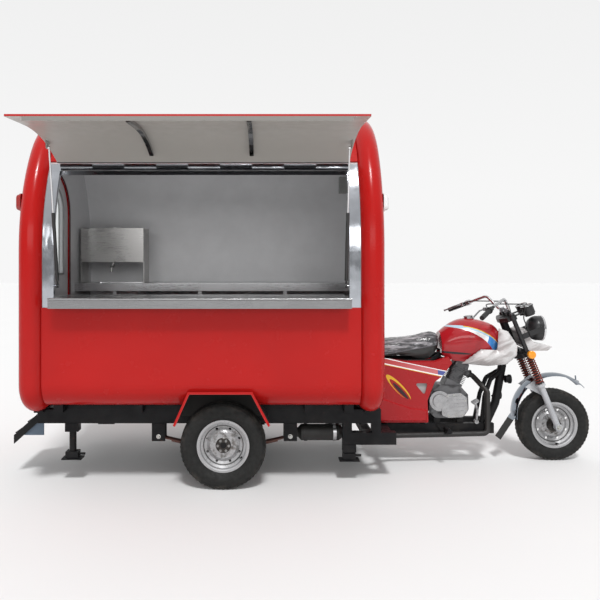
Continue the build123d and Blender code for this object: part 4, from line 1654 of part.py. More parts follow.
# Headlamp: a deep shell with its domed lens in front
LAMP = fork(LAMP_AHEAD, 0, LAMP_UP)
LAMP_BACK = 64
LAMP_FRONT = 46
LAMP_WALL = 6
LENS_BULGE = 20
LAMP_BOSS_X = 17
CABLE_HOLE = 9
LENS_RIM = LAMP_RADIUS - 8 - SEAT
LENS_SPHERE = (LENS_RIM ** 2 + LENS_BULGE ** 2) / (2 * LENS_BULGE)
with BuildPart() as headlamp:
    with BuildSketch(along(0, LAMP.X, LAMP.Z)):
        with BuildLine() as shell_line:
            shell, mouth = LAMP_RADIUS - 4, LAMP_RADIUS - 8
            bottom = LAMP_WALL - LAMP_BACK
            Polyline((bottom, CABLE_HOLE), (-LAMP_BACK, CABLE_HOLE), (-LAMP_BACK, 22))
            ThreePointArc((-LAMP_BACK, 22), (-LAMP_BACK * 0.62, 70), (0, shell))
            bezel = LAMP_FRONT - 2 * LAMP_WALL
            Polyline((0, shell), (bezel, shell), (bezel, LAMP_RADIUS), (LAMP_FRONT, LAMP_RADIUS),
                     (LAMP_FRONT, mouth), (LAMP_FRONT - LAMP_WALL, mouth))
            ThreePointArc((LAMP_FRONT - LAMP_WALL, mouth), (-LAMP_BACK * 0.2, 56), (bottom, CABLE_HOLE))
        make_face(shell_line.edges())
    revolve(axis=Axis(LAMP, (1, 0, 0)))
    for side in (-1, 1):
        rod(LAMP + Vector(LAMP_BOSS_X, side * (LAMP_RADIUS - 9), 0),
            LAMP + Vector(LAMP_BOSS_X, side * (EAR_Y - EAR / 2 - SEAT), 0), 12)
    with BuildSketch(along(0, LAMP.X, LAMP.Z)):
        with BuildLine():
            dome = CenterArc((LAMP_FRONT + LENS_BULGE - LENS_SPHERE, 0), LENS_SPHERE, 0,
                             degrees(asin(LENS_RIM / LENS_SPHERE)))
            Polyline(dome @ 1, (LAMP_FRONT - 3, LENS_RIM), (LAMP_FRONT - 3, 0), dome @ 0)
        make_face()
    revolve(axis=Axis(LAMP, (1, 0, 0)))
save(headlamp, "headlamp", MOTO_DATUM)

# Lamp cowl: a wedge of sheet under the headlamp, open at the back, hung from the lamp brackets
COWL_OUTLINE = ((2128, 969), (2168, 985), (2208, 950), (2222, 905), (2250, 872), (2300, 866), (2384, 846),
                (2347, 817), (2226, 814), (2176, 846))
COWL_MOUTH = ((2142, 958), (2182, 856), (2150, 842), (2105, 950))
COWL_HALF = 78
COWL_WALL = 4
with BuildPart() as lamp_cowl:
    with BuildSketch(along(COWL_HALF)) as cowl_side:
        Polygon(*COWL_OUTLINE, align=None)
    extrude(amount=2 * COWL_HALF)
    with BuildSketch(along(COWL_HALF - COWL_WALL)):
        add(cowl_side.sketch_local)
        offset(amount=-COWL_WALL, mode=Mode.REPLACE)
        Polygon(*COWL_MOUTH, align=None)
    extrude(amount=2 * (COWL_HALF - COWL_WALL), mode=Mode.SUBTRACT)
    for side in (-1, 1):
        tab = fork(64, 0, 698)
        rod((tab.X, side * (COWL_HALF - 2), tab.Z), (tab.X, side * (EAR_Y - EAR / 2 - SEAT), tab.Z), 8)
save(lamp_cowl, "lamp_cowl", MOTO_DATUM)

# Instruments: two dials in deep cups, bridged
with BuildPart() as instruments:
    with BuildSketch(fork_plane(DIAL_AHEAD, DIAL_LOW)):
        with Locations((0, DIAL_Y), (0, -DIAL_Y)):
            Circle(DIAL_RADIUS - 6)
        Rectangle(36, 2 * DIAL_Y)
    extrude(amount=20)
    with BuildSketch(fork_plane(DIAL_AHEAD, DIAL_LOW + 12)):
        with Locations((0, DIAL_Y), (0, -DIAL_Y)):
            Circle(DIAL_RADIUS)
    extrude(amount=DIAL_HIGH - DIAL_LOW - 12)
    with BuildSketch(fork_plane(DIAL_AHEAD, DIAL_HIGH - 9)):
        with Locations((0, DIAL_Y), (0, -DIAL_Y)):
            Circle(DIAL_RADIUS + 3)
    extrude(amount=9)
    with BuildSketch(fork_plane(DIAL_AHEAD, DIAL_HIGH)):
        with Locations((0, DIAL_Y), (0, -DIAL_Y)):
            Circle(DIAL_RADIUS - 4)
    extrude(amount=-5, mode=Mode.SUBTRACT)
save(instruments, "instruments", MOTO_DATUM)

# Indicators on stalks from the lower clamp
INDICATOR_Y = 134
INDICATOR_AHEAD = 6
INDICATOR_RADIUS = 29
INDICATOR_UP = LOWER_CLAMP + CLAMP_THICKNESS / 2
with BuildPart() as indicators:
    for side in (-1, 1):
        lamp_foot = fork(INDICATOR_AHEAD, side * INDICATOR_Y, INDICATOR_UP)
        with BuildSketch(Plane(origin=lamp_foot, x_dir=(1, 0, 0), z_dir=(0, side, 0))):
            Circle(INDICATOR_RADIUS)
        extrude(amount=34)
    fillet(indicators.edges().filter_by(GeomType.CIRCLE), radius=9)
    for side in (-1, 1):
        rod(fork(INDICATOR_AHEAD, side * (FORK_Y + 26 + SEAT), INDICATOR_UP),
            fork(INDICATOR_AHEAD, side * (INDICATOR_Y + 4), INDICATOR_UP), 9)
save(indicators, "indicators", MOTO_DATUM)

# Front wheel and tyre
with BuildPart() as front_wheel:
    centre = across(FRONT_AXLE_X, 0, FRONT_TYRE_RADIUS)
    front_spin = Axis(FRONT_AXLE, (0, 1, 0))
    with BuildSketch(centre):
        wheel_section(FRONT_AXLE_RADIUS + RUN, -FRONT_HUB, FRONT_HUB)
        mirror(about=Plane.YZ, mode=Mode.REPLACE)
    revolve(axis=front_spin)
    face = Plane(origin=FRONT_AXLE, x_dir=(1, 0, 0), z_dir=(0, -1, 0))
    with BuildSketch(face.offset(-8)):
        with PolarLocations(HOLE_CIRCLE, 8, start_angle=22.5):
            Circle(NUT_SIZE)
    extrude(amount=40, mode=Mode.SUBTRACT)
    with BuildSketch(face.offset(16)):
        with PolarLocations(BUMP_CIRCLE, 8):
            RegularPolygon(NUT_SIZE, 6)
    extrude(amount=12)
save(front_wheel, "front_wheel", MOTO_DATUM)

with BuildPart() as front_tyre:
    with BuildSketch(centre):
        tyre_section(FRONT_TYRE_RADIUS, FRONT_TYRE_WIDTH)
    revolve(axis=front_spin)
save(front_tyre, "front_tyre", MOTO_DATUM)
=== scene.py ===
from functools import partialmethod
from math import asin, cos, dist, pi, radians, sin, tan, tau

import bmesh
import bpy
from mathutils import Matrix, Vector, noise


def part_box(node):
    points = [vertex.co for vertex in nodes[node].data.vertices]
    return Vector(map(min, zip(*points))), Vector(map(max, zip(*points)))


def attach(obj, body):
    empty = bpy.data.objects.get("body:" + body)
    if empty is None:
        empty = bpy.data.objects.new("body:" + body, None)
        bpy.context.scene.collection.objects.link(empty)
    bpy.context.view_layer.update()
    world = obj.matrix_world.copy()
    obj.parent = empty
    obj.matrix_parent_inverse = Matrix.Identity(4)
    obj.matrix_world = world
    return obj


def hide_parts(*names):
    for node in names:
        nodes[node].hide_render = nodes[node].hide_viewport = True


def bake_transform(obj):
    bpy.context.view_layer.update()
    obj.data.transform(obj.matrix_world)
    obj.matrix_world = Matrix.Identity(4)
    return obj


# Looks of the motorcycle food tricycle: materials, soft pieces, small fittings, light and camera.
# Lengths are metres. "Vehicle lines" are x ahead of the rear axle, y left of the mid-plane, z above ground.
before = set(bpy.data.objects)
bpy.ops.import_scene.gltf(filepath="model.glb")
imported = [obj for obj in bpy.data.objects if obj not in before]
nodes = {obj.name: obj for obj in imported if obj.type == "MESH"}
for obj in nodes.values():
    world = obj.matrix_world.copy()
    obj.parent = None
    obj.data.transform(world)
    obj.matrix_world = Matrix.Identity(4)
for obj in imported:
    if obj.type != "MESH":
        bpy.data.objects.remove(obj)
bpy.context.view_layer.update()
scene = bpy.context.scene


def middle(node):
    """The middle of a CAD node's box."""
    low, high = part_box(node)
    return (low + high) / 2


REAR_AXLE = (middle("rear_wheel_right") + middle("rear_wheel_left")) / 2
FRONT_AXLE = middle("front_wheel")
ORIGIN = Vector((REAR_AXLE.x, REAR_AXLE.y, 0))
AHEAD = Vector((1, 0, 0))
LEFT = Vector((0, 1, 0))
UP = Vector((0, 0, 1))


def spot(x, y, z):
    """A point in vehicle lines, in the frame's coordinates."""
    return ORIGIN + Vector((x, y, z))


# The kiosk's section, as the part has it
ARCH_HALF = 0.715
SIDE_RADIUS = 1.118
SIDE_TURN = radians(35)
SPRING_Z = 1.534
ARC_REACH = SIDE_RADIUS - ARCH_HALF
CROWN_RADIUS = SIDE_RADIUS - ARC_REACH / cos(SIDE_TURN)
CROWN_Z = SPRING_Z + ARC_REACH * tan(SIDE_TURN)
LINER_OUT = 0.020
INNER_REAR = -1.226
INNER_FRONT = 0.966
KIOSK_MID = (INNER_REAR + INNER_FRONT) / 2
DECK_TOP = 0.567
SILL_TOP = 0.680

# Hatch, rear door and step
HATCH_IN = 0.025
HATCH_OPEN = radians(87)
HINGE_OUT = 0.046
HINGE_ANGLE = radians(30.5)
HINGE = (0, ARC_REACH - (SIDE_RADIUS + HINGE_OUT) * cos(HINGE_ANGLE),
         SPRING_Z + (SIDE_RADIUS + HINGE_OUT) * sin(HINGE_ANGLE))
KNUCKLE_REACH = 0.030
DOOR_MID = -0.170
DOOR_INNER = -1.2372
REVEAL_OUTER = -1.262
REVEAL_HALF = 0.185
REVEAL_LOW = 1.36
STEP_HEAD = (-1.2502, 0.462)
STEP_SLOPE = 0.9
STEP_ARM = 0.0601

# Fork
FORK_RAKE = radians(22.3)
FORK_UP = Vector((-sin(FORK_RAKE), 0, cos(FORK_RAKE)))
FORK_AHEAD = Vector((cos(FORK_RAKE), 0, sin(FORK_RAKE)))

# Shared colours
RED = (0.41, 0.0085, 0.0075)
DARK_RED = (0.16, 0.010, 0.012)
PALE = (0.70, 0.70, 0.71)
LINER = (0.85, 0.85, 0.86)
BEIGE = (0.42, 0.40, 0.37)
STEEL = (0.60, 0.60, 0.61)
SILVER = (0.52, 0.52, 0.53)
CHROME = (0.70, 0.70, 0.71)
WHITE = (0.85, 0.85, 0.85)
YELLOW = (0.70, 0.42, 0.03)
BLUE = (0.05, 0.22, 0.55)
SKY = (0.42, 0.62, 0.74)


def tint(color, factor):
    """A colour made lighter or darker."""
    return tuple(min(1.0, c * factor) for c in color)


def grey(level):
    return (level, level, level)


def placed(name, data):
    """A new object in the scene."""
    obj = bpy.data.objects.new(name, data)
    scene.collection.objects.link(obj)
    return obj


class Tree:
    """Short calls for the nodes of a material or of the world."""

    def __init__(self, tree):
        self.nodes = tree.nodes
        self.links = tree.links

    def feed(self, socket, value):
        """Links a socket, or sets a number or colour."""
        if isinstance(value, bpy.types.NodeSocket):
            self.links.new(value, socket)
        elif isinstance(value, tuple) and socket.type == "RGBA":
            socket.default_value = (*value, 1)
        else:
            socket.default_value = value

    def node(self, kind, values, **settings):
        """A new node, its inputs fed by name or place."""
        node = self.nodes.new("ShaderNode" + kind)
        for name, value in settings.items():
            setattr(node, name, value)
        for key, value in values.items():
            self.feed(node.inputs[key], value)
        return node

    def apart(self, vector):
        return self.node("SeparateXYZ", {0: vector}).outputs

    def calc(self, operation, *values):
        return self.node("Math", dict(enumerate(values)), operation=operation).outputs[0]

    plus = partialmethod(calc, "ADD")
    minus = partialmethod(calc, "SUBTRACT")
    both = partialmethod(calc, "MULTIPLY")
    ratio = partialmethod(calc, "DIVIDE")
    either = partialmethod(calc, "MAXIMUM")
    over = partialmethod(calc, "GREATER_THAN")
    under = partialmethod(calc, "LESS_THAN")
    size = partialmethod(calc, "ABSOLUTE")

    def vector(self, operation, *values):
        node = self.node("VectorMath", dict(enumerate(values)), operation=operation)
        return node.outputs["Value" if operation == "LENGTH" else "Vector"]

    def wave(self, value, rate):
        return self.calc("SINE", self.both(value, rate))

    def hypot(self, first, second):
        return self.calc("SQRT", self.plus(self.both(first, first), self.both(second, second)))

    def between(self, value, low, high, to_low=0.0, to_high=1.0):
        """A value carried from one range to another, held at its ends."""
        given = dict(enumerate((value, low, high, to_low, to_high)))
        return self.node("MapRange", given, interpolation_type="SMOOTHSTEP").outputs[0]

    def mix(self, share, first, second):
        """A colour mixed between two."""
        return self.node("Mix", {0: share, 6: first, 7: second}, data_type="RGBA").outputs[2]

    def blend(self, share, first, second):
        """A number mixed between two."""
        return self.node("Mix", {0: share, 2: first, 3: second}).outputs[0]


class Finish(Tree):
    """A procedural material being built; its places are in vehicle lines."""

    def __init__(self, name):
        self.material = bpy.data.materials.new(name)
        self.material.use_nodes = True
        super().__init__(self.material.node_tree)
        self.shader = self.nodes["Principled BSDF"]
        self.normal = None
        here = self.node("TexCoord", {}).outputs["Object"]
        self.place = self.vector("SUBTRACT", here, tuple(ORIGIN))
        self.x, self.y, self.z = self.apart(self.place)

    def set(self, **values):
        """Sets the shader's sockets; words are written with underscores."""
        for name, value in values.items():
            self.feed(self.shader.inputs[name.replace("_", " ")], value)
        return self

    def from_axis(self, point, axis):
        """Distance from an axis through a point."""
        off = self.vector("SUBTRACT", self.place, point)
        return self.vector("LENGTH", self.vector("CROSS_PRODUCT", off, axis))

    def swung(self, axis, angle, centre=(0, 0, 0)):
        """The place, turned about an axis through a centre."""
        given = {"Vector": self.place, "Center": centre, "Angle": angle}
        return self.node("VectorRotate", given, rotation_type=axis).outputs[0]

    def noise(self, scale, detail=3.0, stretch=(1, 1, 1), rough=0.55, turn=0.0):
        """Clouds; turn swings their stretch about the vehicle's width."""
        place = self.swung("Y_AXIS", turn) if turn else self.place
        place = self.vector("MULTIPLY", place, stretch)
        given = {"Vector": place, "Scale": scale, "Detail": detail, "Roughness": rough}
        return self.node("TexNoise", given).outputs[0]

    def mottle(self, scale, detail, first, second):
        """A colour that clouds from one to another."""
        return self.mix(self.noise(scale, detail), first, second)

    def rough(self, scale, detail, low, high, start=0.3, end=0.7):
        """A number that clouds from one level to another."""
        return self.between(self.noise(scale, detail), start, end, low, high)

    def bump(self, height, strength, distance=0.001):
        node = self.node("Bump", {"Strength": strength, "Distance": distance, "Height": height})
        if self.normal is not None:
            self.links.new(self.normal, node.inputs["Normal"])
        self.normal = node.outputs[0]
        return self.set(Normal=self.normal)

    def grow(self, place=None):
        """How far a point lies outside the centre line of the kiosk's rings."""
        y, z = (self.y, self.z) if place is None else self.apart(place)[1:3]
        out = self.size(y)
        above = self.either(self.minus(z, SPRING_Z), 0.0)
        high = self.minus(z, CROWN_Z)
        side = self.minus(self.hypot(self.plus(out, ARC_REACH), above), SIDE_RADIUS)
        crown = self.minus(self.hypot(out, high), CROWN_RADIUS)
        return self.blend(self.over(high, self.both(out, tan(SIDE_TURN))), side, crown)

    def cover(self, mask, first, second, rough, metallic=0.0):
        """Lays a mottled finish over the one so far, where mask is 1."""
        color = self.mottle(24, 4, first, second)
        for name, value in (("Base Color", color), ("Roughness", rough), ("Metallic", metallic)):
            socket = self.shader.inputs[name]
            under = socket.links[0].from_socket if socket.links else socket.default_value
            join = self.mix if value is color else self.blend
            self.feed(socket, join(mask, under, value))
        return self


# Finishes that many pieces share
PAINT_SPECULAR = 0.16


def sprayed(m, color):
    return m.mottle(2.2, 2, tint(color, 0.90), tint(color, 1.10))


def orange_peel(m):
    m.bump(m.noise(260, 1), 0.02, 0.0006)
    return m.bump(m.noise(1.7, 1), 0.10, 0.004)


def glossy(name, color, rough=0.22, coat=0.1, pattern=None):
    """Sprayed gloss paint under a clear coat; pattern(m, paint) lays stripes on it."""
    m = Finish(name)
    paint = sprayed(m, color)
    m.set(Base_Color=pattern(m, paint) if pattern else paint,
          Roughness=m.rough(7, 4, rough * 0.8, rough * 1.3),
          Specular_IOR_Level=PAINT_SPECULAR, Coat_Weight=coat, Coat_Roughness=0.08)
    return orange_peel(m)


def satin(name, color, rough=0.5, grain=380, strength=0.12, metallic=0.0, spread=0.22):
    """Moulded or painted satin surface with a fine grain and worn patches."""
    m = Finish(name)
    worn = m.between(m.noise(6, 4), 0.3, 0.75)
    m.set(Base_Color=m.mix(worn, tint(color, 1 - spread), tint(color, 1 + spread)),
          Roughness=m.rough(24, 4, rough * 0.8, rough * 1.2, 0.25, 0.75), Metallic=metallic)
    return m.bump(m.noise(grain, 2), strength, 0.0008)


def black_steel(name, plate=None):
    """Black paint, dusty low down, with spots of rust; plate(m) is 1 on grey plates."""
    m = Finish(name)
    dust = m.both(m.between(m.noise(5, 5), 0.42, 0.78), m.between(m.z, 0.62, 0.12))
    rust = m.between(m.noise(34, 6), 0.66, 0.74)
    color = m.mix(dust, (0.007, 0.007, 0.008), (0.024, 0.022, 0.020))
    color = m.mix(rust, color, (0.055, 0.024, 0.014))
    if plate:
        color = m.mix(plate(m), color, m.mottle(12, 4, (0.10, 0.14, 0.19), (0.15, 0.19, 0.24)))
    m.set(Base_Color=color, Roughness=m.rough(19, 4, 0.38, 0.66), Specular_IOR_Level=0.2)
    return m.bump(m.noise(120, 3), 0.12, 0.0012)


def brushed(name, color=STEEL, grain=(1.5, 90, 90), rough=0.27):
    """Brushed stainless sheet with long streaks and soft smears."""
    m = Finish(name)
    streak = m.noise(9, 4, grain, 0.7)
    fine = m.between(streak, 0.25, 0.75, rough * 0.75, rough * 1.25)
    m.set(Base_Color=m.mix(streak, tint(color, 0.82), tint(color, 1.12)), Metallic=1.0,
          Roughness=m.plus(fine, m.rough(3.1, 3, 0.0, 0.10, 0.35, 0.75)), Anisotropic=0.4)
    m.bump(streak, 0.06, 0.0004)
    return m.bump(m.noise(2.6, 1), 0.10, 0.004)


def polished(name, color=CHROME, wave=0.35):
    """Polished metal whose face is slightly wavy, with fine smears."""
    m = Finish(name)
    smear = m.noise(11, 5)
    m.set(Base_Color=m.mix(smear, tint(color, 0.88), tint(color, 1.08)), Metallic=1.0,
          Roughness=m.between(smear, 0.3, 0.8, 0.06, 0.20))
    return m.bump(m.noise(9, 2, (1, 1, 0.35)), wave, 0.004)


def cast(name, color=(0.46, 0.46, 0.47), rough=0.42):
    """Cast light alloy: grainy, with oil-dark hollows."""
    m = Finish(name)
    grime = m.between(m.noise(26, 5), 0.46, 0.70)
    m.set(Base_Color=m.mix(grime, color, tint(color, 0.30)), Metallic=m.between(grime, 0, 1, 0.95, 0.55),
          Roughness=m.rough(90, 3, rough * 0.8, rough * 1.3))
    return m.bump(m.noise(520, 2), 0.22, 0.0009)


def clear(name, color, ior, smear, dullest):
    """Clear sheet with faint smears; smear is their noise's scale and detail."""
    m = Finish(name)
    return m.set(Base_Color=color, Roughness=m.rough(*smear, 0.01, dullest, 0.4, 0.8),
                 Transmission_Weight=1.0, IOR=ior)


def two_faced(name, outside, inside, pick, bare=None, shade=None):
    """Gloss outside, satin where pick(m) is 1, dark steel where bare(m) is, painted shade where shade(m) is.
    """
    m = Finish(name)
    inner = pick(m)
    color = m.mix(inner, sprayed(m, outside), m.mottle(1.9, 3, tint(inside, 0.94), tint(inside, 1.05)))
    if shade:
        # Painted shade: a darker copy of the inside colour on the inner faces that shade(m) picks.
        color = m.mix(m.both(inner, shade(m)), color, tint(inside, 0.55))
    if bare:
        color = m.mix(bare(m), color, m.mottle(60, 3, grey(0.05), grey(0.11)))
    m.set(Base_Color=color, Roughness=m.blend(inner, m.rough(7, 4, 0.17, 0.28), m.rough(13, 3, 0.30, 0.46)),
          Specular_IOR_Level=PAINT_SPECULAR, Coat_Weight=0.1, Coat_Roughness=0.1)
    return orange_peel(m)


def dress(mesh, finish):
    """Makes a finish a mesh's only material."""
    mesh.materials.clear()
    mesh.materials.append(finish.material)


def wear(finish, *names):
    """Gives CAD nodes their material."""
    for name in names:
        dress(nodes[name].data, finish)


# Where the kiosk's finishes change
SILL_SIDE = -0.6
FACE_SLACK = 0.0006
LINER_SLACK = 0.0008
HATCH_SLACK = 0.0015
LIP_FACING = -0.85
ARCH_LIP = 0.752


def cap_inside(m):
    """1 on the faces of an end cap that look into the kiosk."""
    length = m.both(m.over(m.x, INNER_REAR - FACE_SLACK), m.under(m.x, INNER_FRONT + FACE_SLACK))
    height = m.over(m.z, m.blend(m.under(m.y, SILL_SIDE), DECK_TOP, SILL_TOP))
    return m.both(m.both(length, height), m.under(m.grow(), LINER_OUT + LINER_SLACK))


def hatch_inside(m):
    """1 on the face of the hatch that looks down when it is open."""
    return m.under(m.grow(m.swung("X_AXIS", HATCH_OPEN, HINGE)), HATCH_IN + HATCH_SLACK)


def hatch_lip_shade(m):
    """1 on the inner faces of the hatch that look away from the kiosk, where shade is painted."""
    facing = m.node("TexCoord", {}).outputs["Normal"]
    return m.under(m.apart(facing)["Y"], LIP_FACING)


def hatch_knuckle(m):
    """1 on the hatch's hinge knuckles."""
    return m.under(m.from_axis(HINGE, AHEAD), KNUCKLE_REACH)


def door_inside(m):
    """1 on the rear door's inner face and round its window."""
    beside = m.under(m.size(m.minus(m.y, DOOR_MID)), REVEAL_HALF)
    reveal = m.both(m.over(m.x, REVEAL_OUTER), m.both(beside, m.over(m.z, REVEAL_LOW)))
    return m.either(m.over(m.x, DOOR_INNER), reveal)


def step_gusset(m):
    """1 on the plates under the arms of the rear step."""
    head_x, head_z = STEP_HEAD
    underside = m.calc("MULTIPLY_ADD", m.minus(m.x, head_x), STEP_SLOPE, head_z)
    return m.both(m.under(m.x, head_x), m.under(m.z, m.minus(underside, STEP_ARM)))


def chequer_plate():
    """Dull brushed plate with raised lozenges."""
    m = brushed("floor_plate", (0.42, 0.42, 0.43), (60, 60, 2), 0.4)
    lozenge = m.both(m.wave(m.plus(m.x, m.y), 120), m.wave(m.minus(m.x, m.y), 60))
    return m.bump(m.between(lozenge, 0.45, 0.7), 0.6, 0.002)


def arch_paint():
    """Black with dirt inside the wheel wells, darkened further with painted shade, red on their lips."""
    m = Finish("arch_paint")
    lip = m.over(m.size(m.y), ARCH_LIP)
    # Near-black inside the wells: dirt, deepened with painted shade of the wells' insides.
    dirt_and_shade = m.mottle(9, 5, grey(0.008), (0.030, 0.027, 0.024))
    m.set(Base_Color=m.mix(lip, dirt_and_shade, RED), Roughness=m.blend(lip, 0.75, 0.28))
    return m.bump(m.noise(90, 3), 0.1)


def marker_lenses():
    """Ribbed lenses, red at the rear and clear at the front."""
    m = Finish("marker_lenses")
    m.set(Base_Color=m.mix(m.over(m.x, 0.0), (0.30, 0.010, 0.008), grey(0.72)),
          Roughness=m.rough(30, 3, 0.08, 0.2), Coat_Weight=0.8, Coat_Roughness=0.05)
    return m.bump(m.wave(m.z, 900), 0.25)


# Kiosk
body_red = glossy("body_red", RED)
chrome = polished("chrome")
black = black_steel("frame_black")
wear(body_red, "right_lower_panel", "roof_skin")
wear(two_faced("end_cap_red", RED, PALE, cap_inside), "rear_end_cap", "front_end_cap")
# The hatch's inner lip faces get painted shade.
wear(two_faced("hatch_two_tone", RED, BEIGE, hatch_inside, hatch_knuckle, hatch_lip_shade), "hatch_panel")
wear(two_faced("door_two_tone", DARK_RED, PALE, door_inside), "rear_door")
wear(satin("liner_white", LINER, 0.42, 700, 0.03, spread=0.03), "inner_liner")
wear(polished("rib_chrome", (0.36, 0.36, 0.37), 0.5), "hatch_ribs")
wear(brushed("hinge_steel", grey(0.20), (90, 1.5, 90), 0.4), "hatch_hinge")
# The counter's and the water tank's stainless are darker copies of the stainless sheet: painted shade.
wear(brushed("counter_steel", (0.33, 0.33, 0.335), rough=0.22), "serving_counter")
wear(brushed("stainless"), "back_counter")
wear(brushed("tank_steel", (0.46, 0.45, 0.44)), "water_tank")
wear(polished("jamb_polished", (0.54, 0.56, 0.60), 0.6), "opening_frame")
wear(satin("box_grey", (0.40, 0.40, 0.39), 0.45), "junction_box")
wear(satin("strut_black", grey(0.02), 0.35), "strut_cylinders")
wear(chrome, "tap_lever", "door_handle", "strut_rods", "gear_lever")
wear(chequer_plate(), "floor_deck")
wear(black_steel("chassis_black", step_gusset), "chassis_frame")
wear(clear("window_glass", (0.93, 0.96, 0.96), 1.12, (14, 4), 0.07), "door_window")
wear(arch_paint(), "wheel_arches")
wear(marker_lenses(), "marker_lamps")
LEGS = ("rear_right", "rear_left", "front_right", "front_left")
wear(black, "moto_frame", "rear_axle", "propeller_shaft", "universal_joint")
wear(black, *("jack_leg_" + leg for leg in LEGS))

# Wheels
REAR_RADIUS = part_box("rear_tyre_right")[1].z - REAR_AXLE.z
FRONT_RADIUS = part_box("front_tyre")[1].z - FRONT_AXLE.z
HUB_RADIUS = 0.050
# Radius and half width of a dark ring of painted shade on the wheels' discs.
GROOVE_SHADE_RADIUS = 0.128
GROOVE_SHADE_HALF = 0.0035


def tyre(name, axle, radius):
    """Rubber with moulded rings on its walls and dust in its tread."""
    m = Finish(name)
    away = m.from_axis(axle - ORIGIN, LEFT)
    rings = m.both(m.wave(away, 700), m.under(away, radius - 0.030))
    dust = m.both(m.between(m.noise(16, 5), 0.40, 0.75), m.between(away, radius - 0.05, radius))
    clean = m.mottle(40, 3, grey(0.010), (0.020, 0.020, 0.019))
    m.set(Base_Color=m.mix(dust, clean, (0.055, 0.049, 0.043)),
          Roughness=m.rough(50, 3, 0.55, 0.8), Specular_IOR_Level=0.25)
    m.bump(rings, 0.18)
    return m.bump(m.noise(300, 2), 0.15, 0.0008)


def wheel(name, axle, nut_face):
    """Silver paint, grimy near the hub of black iron, with a dark ring of painted shade at a groove, and
    bright nuts beyond nut_face.
    """
    m = Finish(name)
    away = m.from_axis(axle - ORIGIN, LEFT)
    hub = m.under(away, HUB_RADIUS)
    # A dark ring in the silver: painted shade of a groove at this radius.
    groove_shade = m.under(m.size(m.minus(away, GROOVE_SHADE_RADIUS)), GROOVE_SHADE_HALF)
    grime = m.both(m.between(m.noise(30, 5), 0.45, 0.7), m.between(away, 0.15, 0.06))
    silver = m.mottle(8, 3, tint(SILVER, 0.62), tint(SILVER, 0.92))
    silver = m.mix(grime, m.mix(groove_shade, silver, grey(0.07)), (0.12, 0.11, 0.10))
    iron = m.mottle(60, 4, grey(0.010), (0.045, 0.035, 0.028))
    m.set(Base_Color=m.mix(hub, silver, iron), Metallic=m.blend(hub, 0.55, 0.2),
          Roughness=m.rough(45, 4, 0.26, 0.44))
    nut = m.both(hub, m.over(m.size(m.y), nut_face))
    m.cover(nut, grey(0.20), (0.34, 0.33, 0.32), 0.35, 0.8)
    return m.bump(m.noise(400, 2), 0.08, 0.0006)


rear_rubber = tyre("rear_rubber", REAR_AXLE, REAR_RADIUS)
front_rubber = tyre("front_rubber", FRONT_AXLE, FRONT_RADIUS)
wear(rear_rubber, "rear_tyre_right", "rear_tyre_left")
wear(wheel("rear_wheel_silver", REAR_AXLE, nut_face=0.6265), "rear_wheel_right", "rear_wheel_left")
wear(front_rubber, "front_tyre")
wear(wheel("front_wheel_silver", FRONT_AXLE, nut_face=0.200), "front_wheel")

# Motorcycle half
CLUTCH_SIDE = -0.0835
MUFFLER = (0, -0.360, 0.295)
CLAMP_INNER = 0.0565
CLAMP_REAR = 0.735
CLAMP_FRONT = 0.762
GUARD_MIDDLE = (2.417, 0, 0.340)
FLAP_TOP = 0.300
FLAP_REACH = 0.2855


def engine_alloy():
    """Dark cast alloy with a brighter clutch cover."""
    m = cast("engine_alloy", (0.16, 0.16, 0.165))
    return m.cover(m.under(m.y, CLUTCH_SIDE), (0.24, 0.24, 0.245), (0.58, 0.58, 0.59), 0.24, 0.95)


def exhaust_paint():
    """Black heat paint with a bright clamp round the muffler."""
    m = satin("exhaust_black", (0.016, 0.015, 0.014), 0.55, 200, 0.25)
    length = m.both(m.over(m.x, CLAMP_REAR), m.under(m.x, CLAMP_FRONT))
    clamp = m.both(m.over(m.from_axis(MUFFLER, AHEAD), CLAMP_INNER), length)
    return m.cover(clamp, (0.42, 0.42, 0.43), (0.60, 0.60, 0.61), 0.3, 1.0)


def guard_steel():
    """Polished mudguard with a black rubber flap."""
    m = polished("guard_steel", (0.25, 0.28, 0.32), 0.2)
    flap = m.either(m.under(m.z, FLAP_TOP), m.under(m.from_axis(GUARD_MIDDLE, LEFT), FLAP_REACH))
    return m.cover(flap, grey(0.014), (0.032, 0.031, 0.030), 0.7)


rubber = satin("rubber_black", grey(0.016), 0.62, 600, 0.2)
wear(engine_alloy(), "crankcase")
wear(cast("cylinder_alloy", (0.17, 0.17, 0.175), 0.45), "cylinder")
wear(cast("pedal_alloy"), "brake_pedal")
wear(cast("lever_alloy", (0.30, 0.30, 0.31), 0.35), "brake_lever", "clutch_lever")
wear(exhaust_paint(), "exhaust")
wear(satin("slider_grey", (0.44, 0.45, 0.47), 0.38, 200, 0.08, 0.2, 0.12), "fork_sliders")
wear(guard_steel(), "front_mudguard")
wear(rubber, "throttle_grip", "control_cables")
wear(satin("fork_black", (0.015, 0.015, 0.016), 0.38), "fork_tubes")
wear(satin("plastic_black", (0.020, 0.020, 0.021), 0.42), "instruments")


# Helpers for new pieces
def piece(name, bm, finish, body, crease=35):
    """A new piece from a bmesh, smooth except at its edges, riding on a body if one is given."""
    bmesh.ops.recalc_face_normals(bm, faces=bm.faces)
    mesh = bpy.data.meshes.new(name)
    bm.to_mesh(mesh)
    bm.free()
    mesh.shade_smooth()
    mesh.set_sharp_from_angle(angle=radians(crease))
    dress(mesh, finish)
    obj = placed(name, mesh)
    if body:
        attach(obj, body)
    return obj


def circle(bm, centre, first, second, radius, sides):
    """Adds corners round a circle in the plane of two directions."""
    turns = [tau * s / sides for s in range(sides)]
    return [bm.verts.new(centre + (first * cos(t) + second * sin(t)) * radius) for t in turns]


